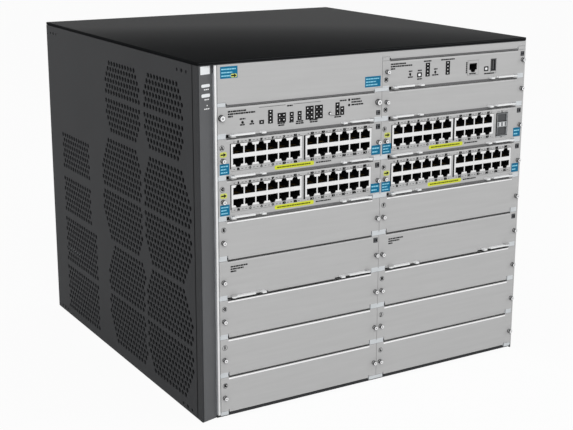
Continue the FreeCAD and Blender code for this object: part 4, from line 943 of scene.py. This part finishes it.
def bezel_tag(piece, x0, x1, z0, z1, material, lift=0.1, radius=0.4):
    """A thin mark that follows the bezel's slant."""
    outline = rounded(x0, x1, z0, z1, min(radius, (x1 - x0) / 2.2, (z1 - z0) / 2.2))
    n = len(outline)
    points = [(a, bezel_face(a) - lift, b) for a, b in outline] + [(a, bezel_face(a) + 0.05, b) for a, b in outline]
    faces = [tuple(range(n)), tuple(range(2 * n - 1, n - 1, -1))]
    faces += [((i + 1) % n, i, n + i, n + (i + 1) % n) for i in range(n)]
    piece.add(points, faces, material)


def bezel_marks():
    """A plain badge square, two pale lamp windows and small print on the bezel."""
    piece = Piece("bezel_marks")
    bezel_tag(piece, -218.5, -206.0, 386.6, 395.2, LENS, 0.14)
    bezel_tag(piece, -217.5, -206.2, 373.2, 376.4, LENS, 0.16, 1.2)
    bezel_tag(piece, -217.5, -206.2, 362.7, 366.3, LENS, 0.16, 1.2)
    for x0, x1, z in ((-214, -207.2, 370.2), (-213.5, -207.6, 359.7), (-214, -206.8, 349.8)):
        along = x0
        while along < x1:
            bezel_tag(piece, along, min(along + 1.7, x1), z, z + 1.2, WHITE, 0.05, 0.2)
            along += 2.3
    bezel_tag(piece, -210.8, -209.4, 353.2, 354.6, WHITE, 0.06, 0.6)
    piece.make("chassis", "bezel")


def frame_strip():
    """The bright edge of the inner frame beside the bezel."""
    piece = Piece("frame_strip")
    outline = [(-202.7, 3.9), (-200.35, 3.9), (-200.35, 395.4), (-202.7, 395.4)]
    piece.prism(outline, (FRONT + 0.1, FRONT + 1.7), SHIELD)
    piece.make("chassis", "zinc", bevel=0.25)
    edge = Piece("frame_edge")
    edge.prism([(220.35, 3.9), (HALF, 3.9), (HALF, 396.0), (220.35, 396.0)], (FRONT + 0.02, FRONT + 0.45), PLATE)
    edge.make("chassis", "faceplate", bevel=0.1)


def cover():
    """Top sheet with rolled edges and a front lip, with a black strip above it as a painted shadow gap."""
    piece = Piece("rolled_top_cover")
    piece.block((-HALF, HALF), (FRONT, REAR), (396.5, 400), COVER)
    for side in (-1, 1):
        lips = sorted((side * (HALF - 1.35), side * (HALF - 2.15)))
        piece.block(lips, (FRONT + 2, REAR - 2.4), (392.5, 396.6), COVER)
    piece.block((-HALF + 3, HALF - 3), (REAR - 2.3, REAR - 1.5), (392.5, 396.6), COVER)
    made = piece.make("chassis", "shell", ["top_cover"], bevel=1.0)
    lip = Piece("cover_front_lip")
    lip.block((-HALF + 1.5, HALF - 1.5), (FRONT + 0.1, FRONT + 1.5), (396, 397.2), COAT)
    # Painted shadow: a black strip standing in for the shade of the gap above the lip.
    lip.block((-HALF + 2, HALF - 2), (FRONT - 0.1, FRONT + 0.3), (398.6, 399.1), WELL_AND_SHADE)
    lip.make("chassis", "shell", bevel=0.1)
    return made


def wall_liner():
    """Black sheets behind the perforation as painted shade for the inside, so that no light passes through the
    chassis.
    """
    piece = Piece("wall_liner")
    for edges in ((-HALF + 2.6, -HALF + 3.0), (HALF - 1.85, HALF - 1.45)):
        piece.block(edges, (FRONT + 16, REAR - 4), (6, 392), VOID)
    piece.make("chassis", "shell", bevel=0.1)


# ---------------------------------------------------------------- finishes of the carried-over solids

FINISH = {
    "base_pan": COAT, "rear_panel": ZINC, "bezel_strip": BEZEL, "upper_front_panel": PLATE,
    "blank_panels": PLATE, "card_cage": ZINC, "backplane": BOARD, "optical_cage": STEEL,
    "power_bay_covers": ZINC, "fan_tray": ZINC, "power_supply_1": STEEL, "power_supply_2": STEEL,
}


def dress():
    for name, node in frame["nodes"].items():
        material = FINISH.get(name)
        if material is None:
            if name == "management_board":
                material = SOCKETS
            elif name.startswith("lever_"):
                material = LEVER
            elif name.endswith("_board") or name.startswith("line_board"):
                material = BOARD
            elif name.endswith("_button"):
                material = BLACK_AND_SHADE
            elif name.startswith("fan_rotor") or name.startswith("port_jacks"):
                material = BLACK_AND_SHADE
            elif "module" in name or "filler" in name:
                material = PLATE
            else:
                material = COAT
        node.data.materials.clear()
        node.data.materials.append(material)


# ---------------------------------------------------------------- stage

def stage():
    g = Graph("studio_floor")
    g.join(g.ramp(g.noise(0.8), (0.86, 0.86, 0.86, 1), (0.9, 0.9, 0.9, 1)), g.shader.inputs["Base Color"])
    g.shader.inputs["Roughness"].default_value = 0.9
    path = g.add("ShaderNodeLightPath")
    pale = g.add("ShaderNodeEmission", Color=(1, 1, 1, 1), Strength=1.0)
    mix = g.add("ShaderNodeMixShader")
    share = g.add("ShaderNodeMath", operation="MULTIPLY")
    share.inputs[1].default_value = 0.94
    g.join(path.outputs["Is Camera Ray"], share.inputs[0])
    g.join(share.outputs["Value"], mix.inputs["Fac"])
    g.join(g.shader.outputs["BSDF"], mix.inputs[1])
    g.join(pale.outputs["Emission"], mix.inputs[2])
    g.join(mix.outputs["Shader"], g.tree.nodes["Material Output"].inputs["Surface"])
    mesh = bpy.data.meshes.new("studio_floor")
    mesh.from_pydata([(-8, -8, 0), (8, -8, 0), (8, 8, 0), (-8, 8, 0)], [], [(0, 1, 2, 3)])
    mesh.materials.append(g.material)
    floor = bpy.data.objects.new("studio_floor", mesh)
    floor.location.z = -0.0008
    bpy.context.scene.collection.objects.link(floor)


def world():
    made = bpy.data.worlds.new("studio")
    made.use_nodes = True
    tree = made.node_tree
    background = tree.nodes["Background"]
    background.inputs["Color"].default_value = (1, 1, 1, 1)
    path = tree.nodes.new("ShaderNodeLightPath")
    most = tree.nodes.new("ShaderNodeMath")
    most.operation = "MAXIMUM"
    all_rays = tree.nodes.new("ShaderNodeMath")
    all_rays.operation = "MAXIMUM"
    scale = tree.nodes.new("ShaderNodeMapRange")
    scale.inputs["To Min"].default_value = 0.42
    scale.inputs["To Max"].default_value = 1.0
    tree.links.new(path.outputs["Is Camera Ray"], most.inputs[0])
    tree.links.new(path.outputs["Is Glossy Ray"], most.inputs[1])
    tree.links.new(most.outputs["Value"], all_rays.inputs[0])
    tree.links.new(path.outputs["Is Transmission Ray"], all_rays.inputs[1])
    tree.links.new(all_rays.outputs["Value"], scale.inputs["Value"])
    tree.links.new(scale.outputs["Result"], background.inputs["Strength"])
    bpy.context.scene.world = made


def lamp_panel(name, place, target, size, power):
    light = bpy.data.lights.new(name, "AREA")
    light.shape = "RECTANGLE"
    light.size, light.size_y = size
    light.energy = power
    made = bpy.data.objects.new(name, light)
    made.location = place
    made.rotation_euler = (Vector(target) - Vector(place)).to_track_quat("-Z", "Y").to_euler()
    bpy.context.scene.collection.objects.link(made)


def camera():
    data = bpy.data.cameras.new("view")
    data.sensor_width = 36
    data.lens = 74.46
    data.shift_x = -0.015
    data.shift_y = -0.0413
    made = bpy.data.objects.new("view", data)
    place = Vector((-0.7622, -1.3102, 0.5687))
    target = Vector((0.01668, -0.025, 0.19027))
    made.location = place
    aim = (target - place).to_track_quat("-Z", "Y")
    made.rotation_mode = "QUATERNION"
    roll = Euler((0, 0, math.radians(ROLL)), "XYZ").to_quaternion()
    made.rotation_quaternion = aim @ roll
    bpy.context.scene.collection.objects.link(made)
    bpy.context.scene.camera = made


ROLL = 0.217

dress()
side_walls()
cover()
line_modules()
optical_pair()
support_marks()
management_marks()
socket_faces()
fabric_marks()
blank_marks()
panel_marks()
bezel_marks()
frame_strip()
wall_liner()
seams()
strip_tabs()
lever_marks()
stage()
world()
lamp_panel("key", (-1.2, -3.0, 2.2), (0, 0, 0.2), (2.2, 1.6), 60)
lamp_panel("fill", (3.0, -2.2, 1.6), (0, 0, 0.2), (2.0, 2.0), 24)
camera()
bpy.context.scene.view_settings.view_transform = "Standard"
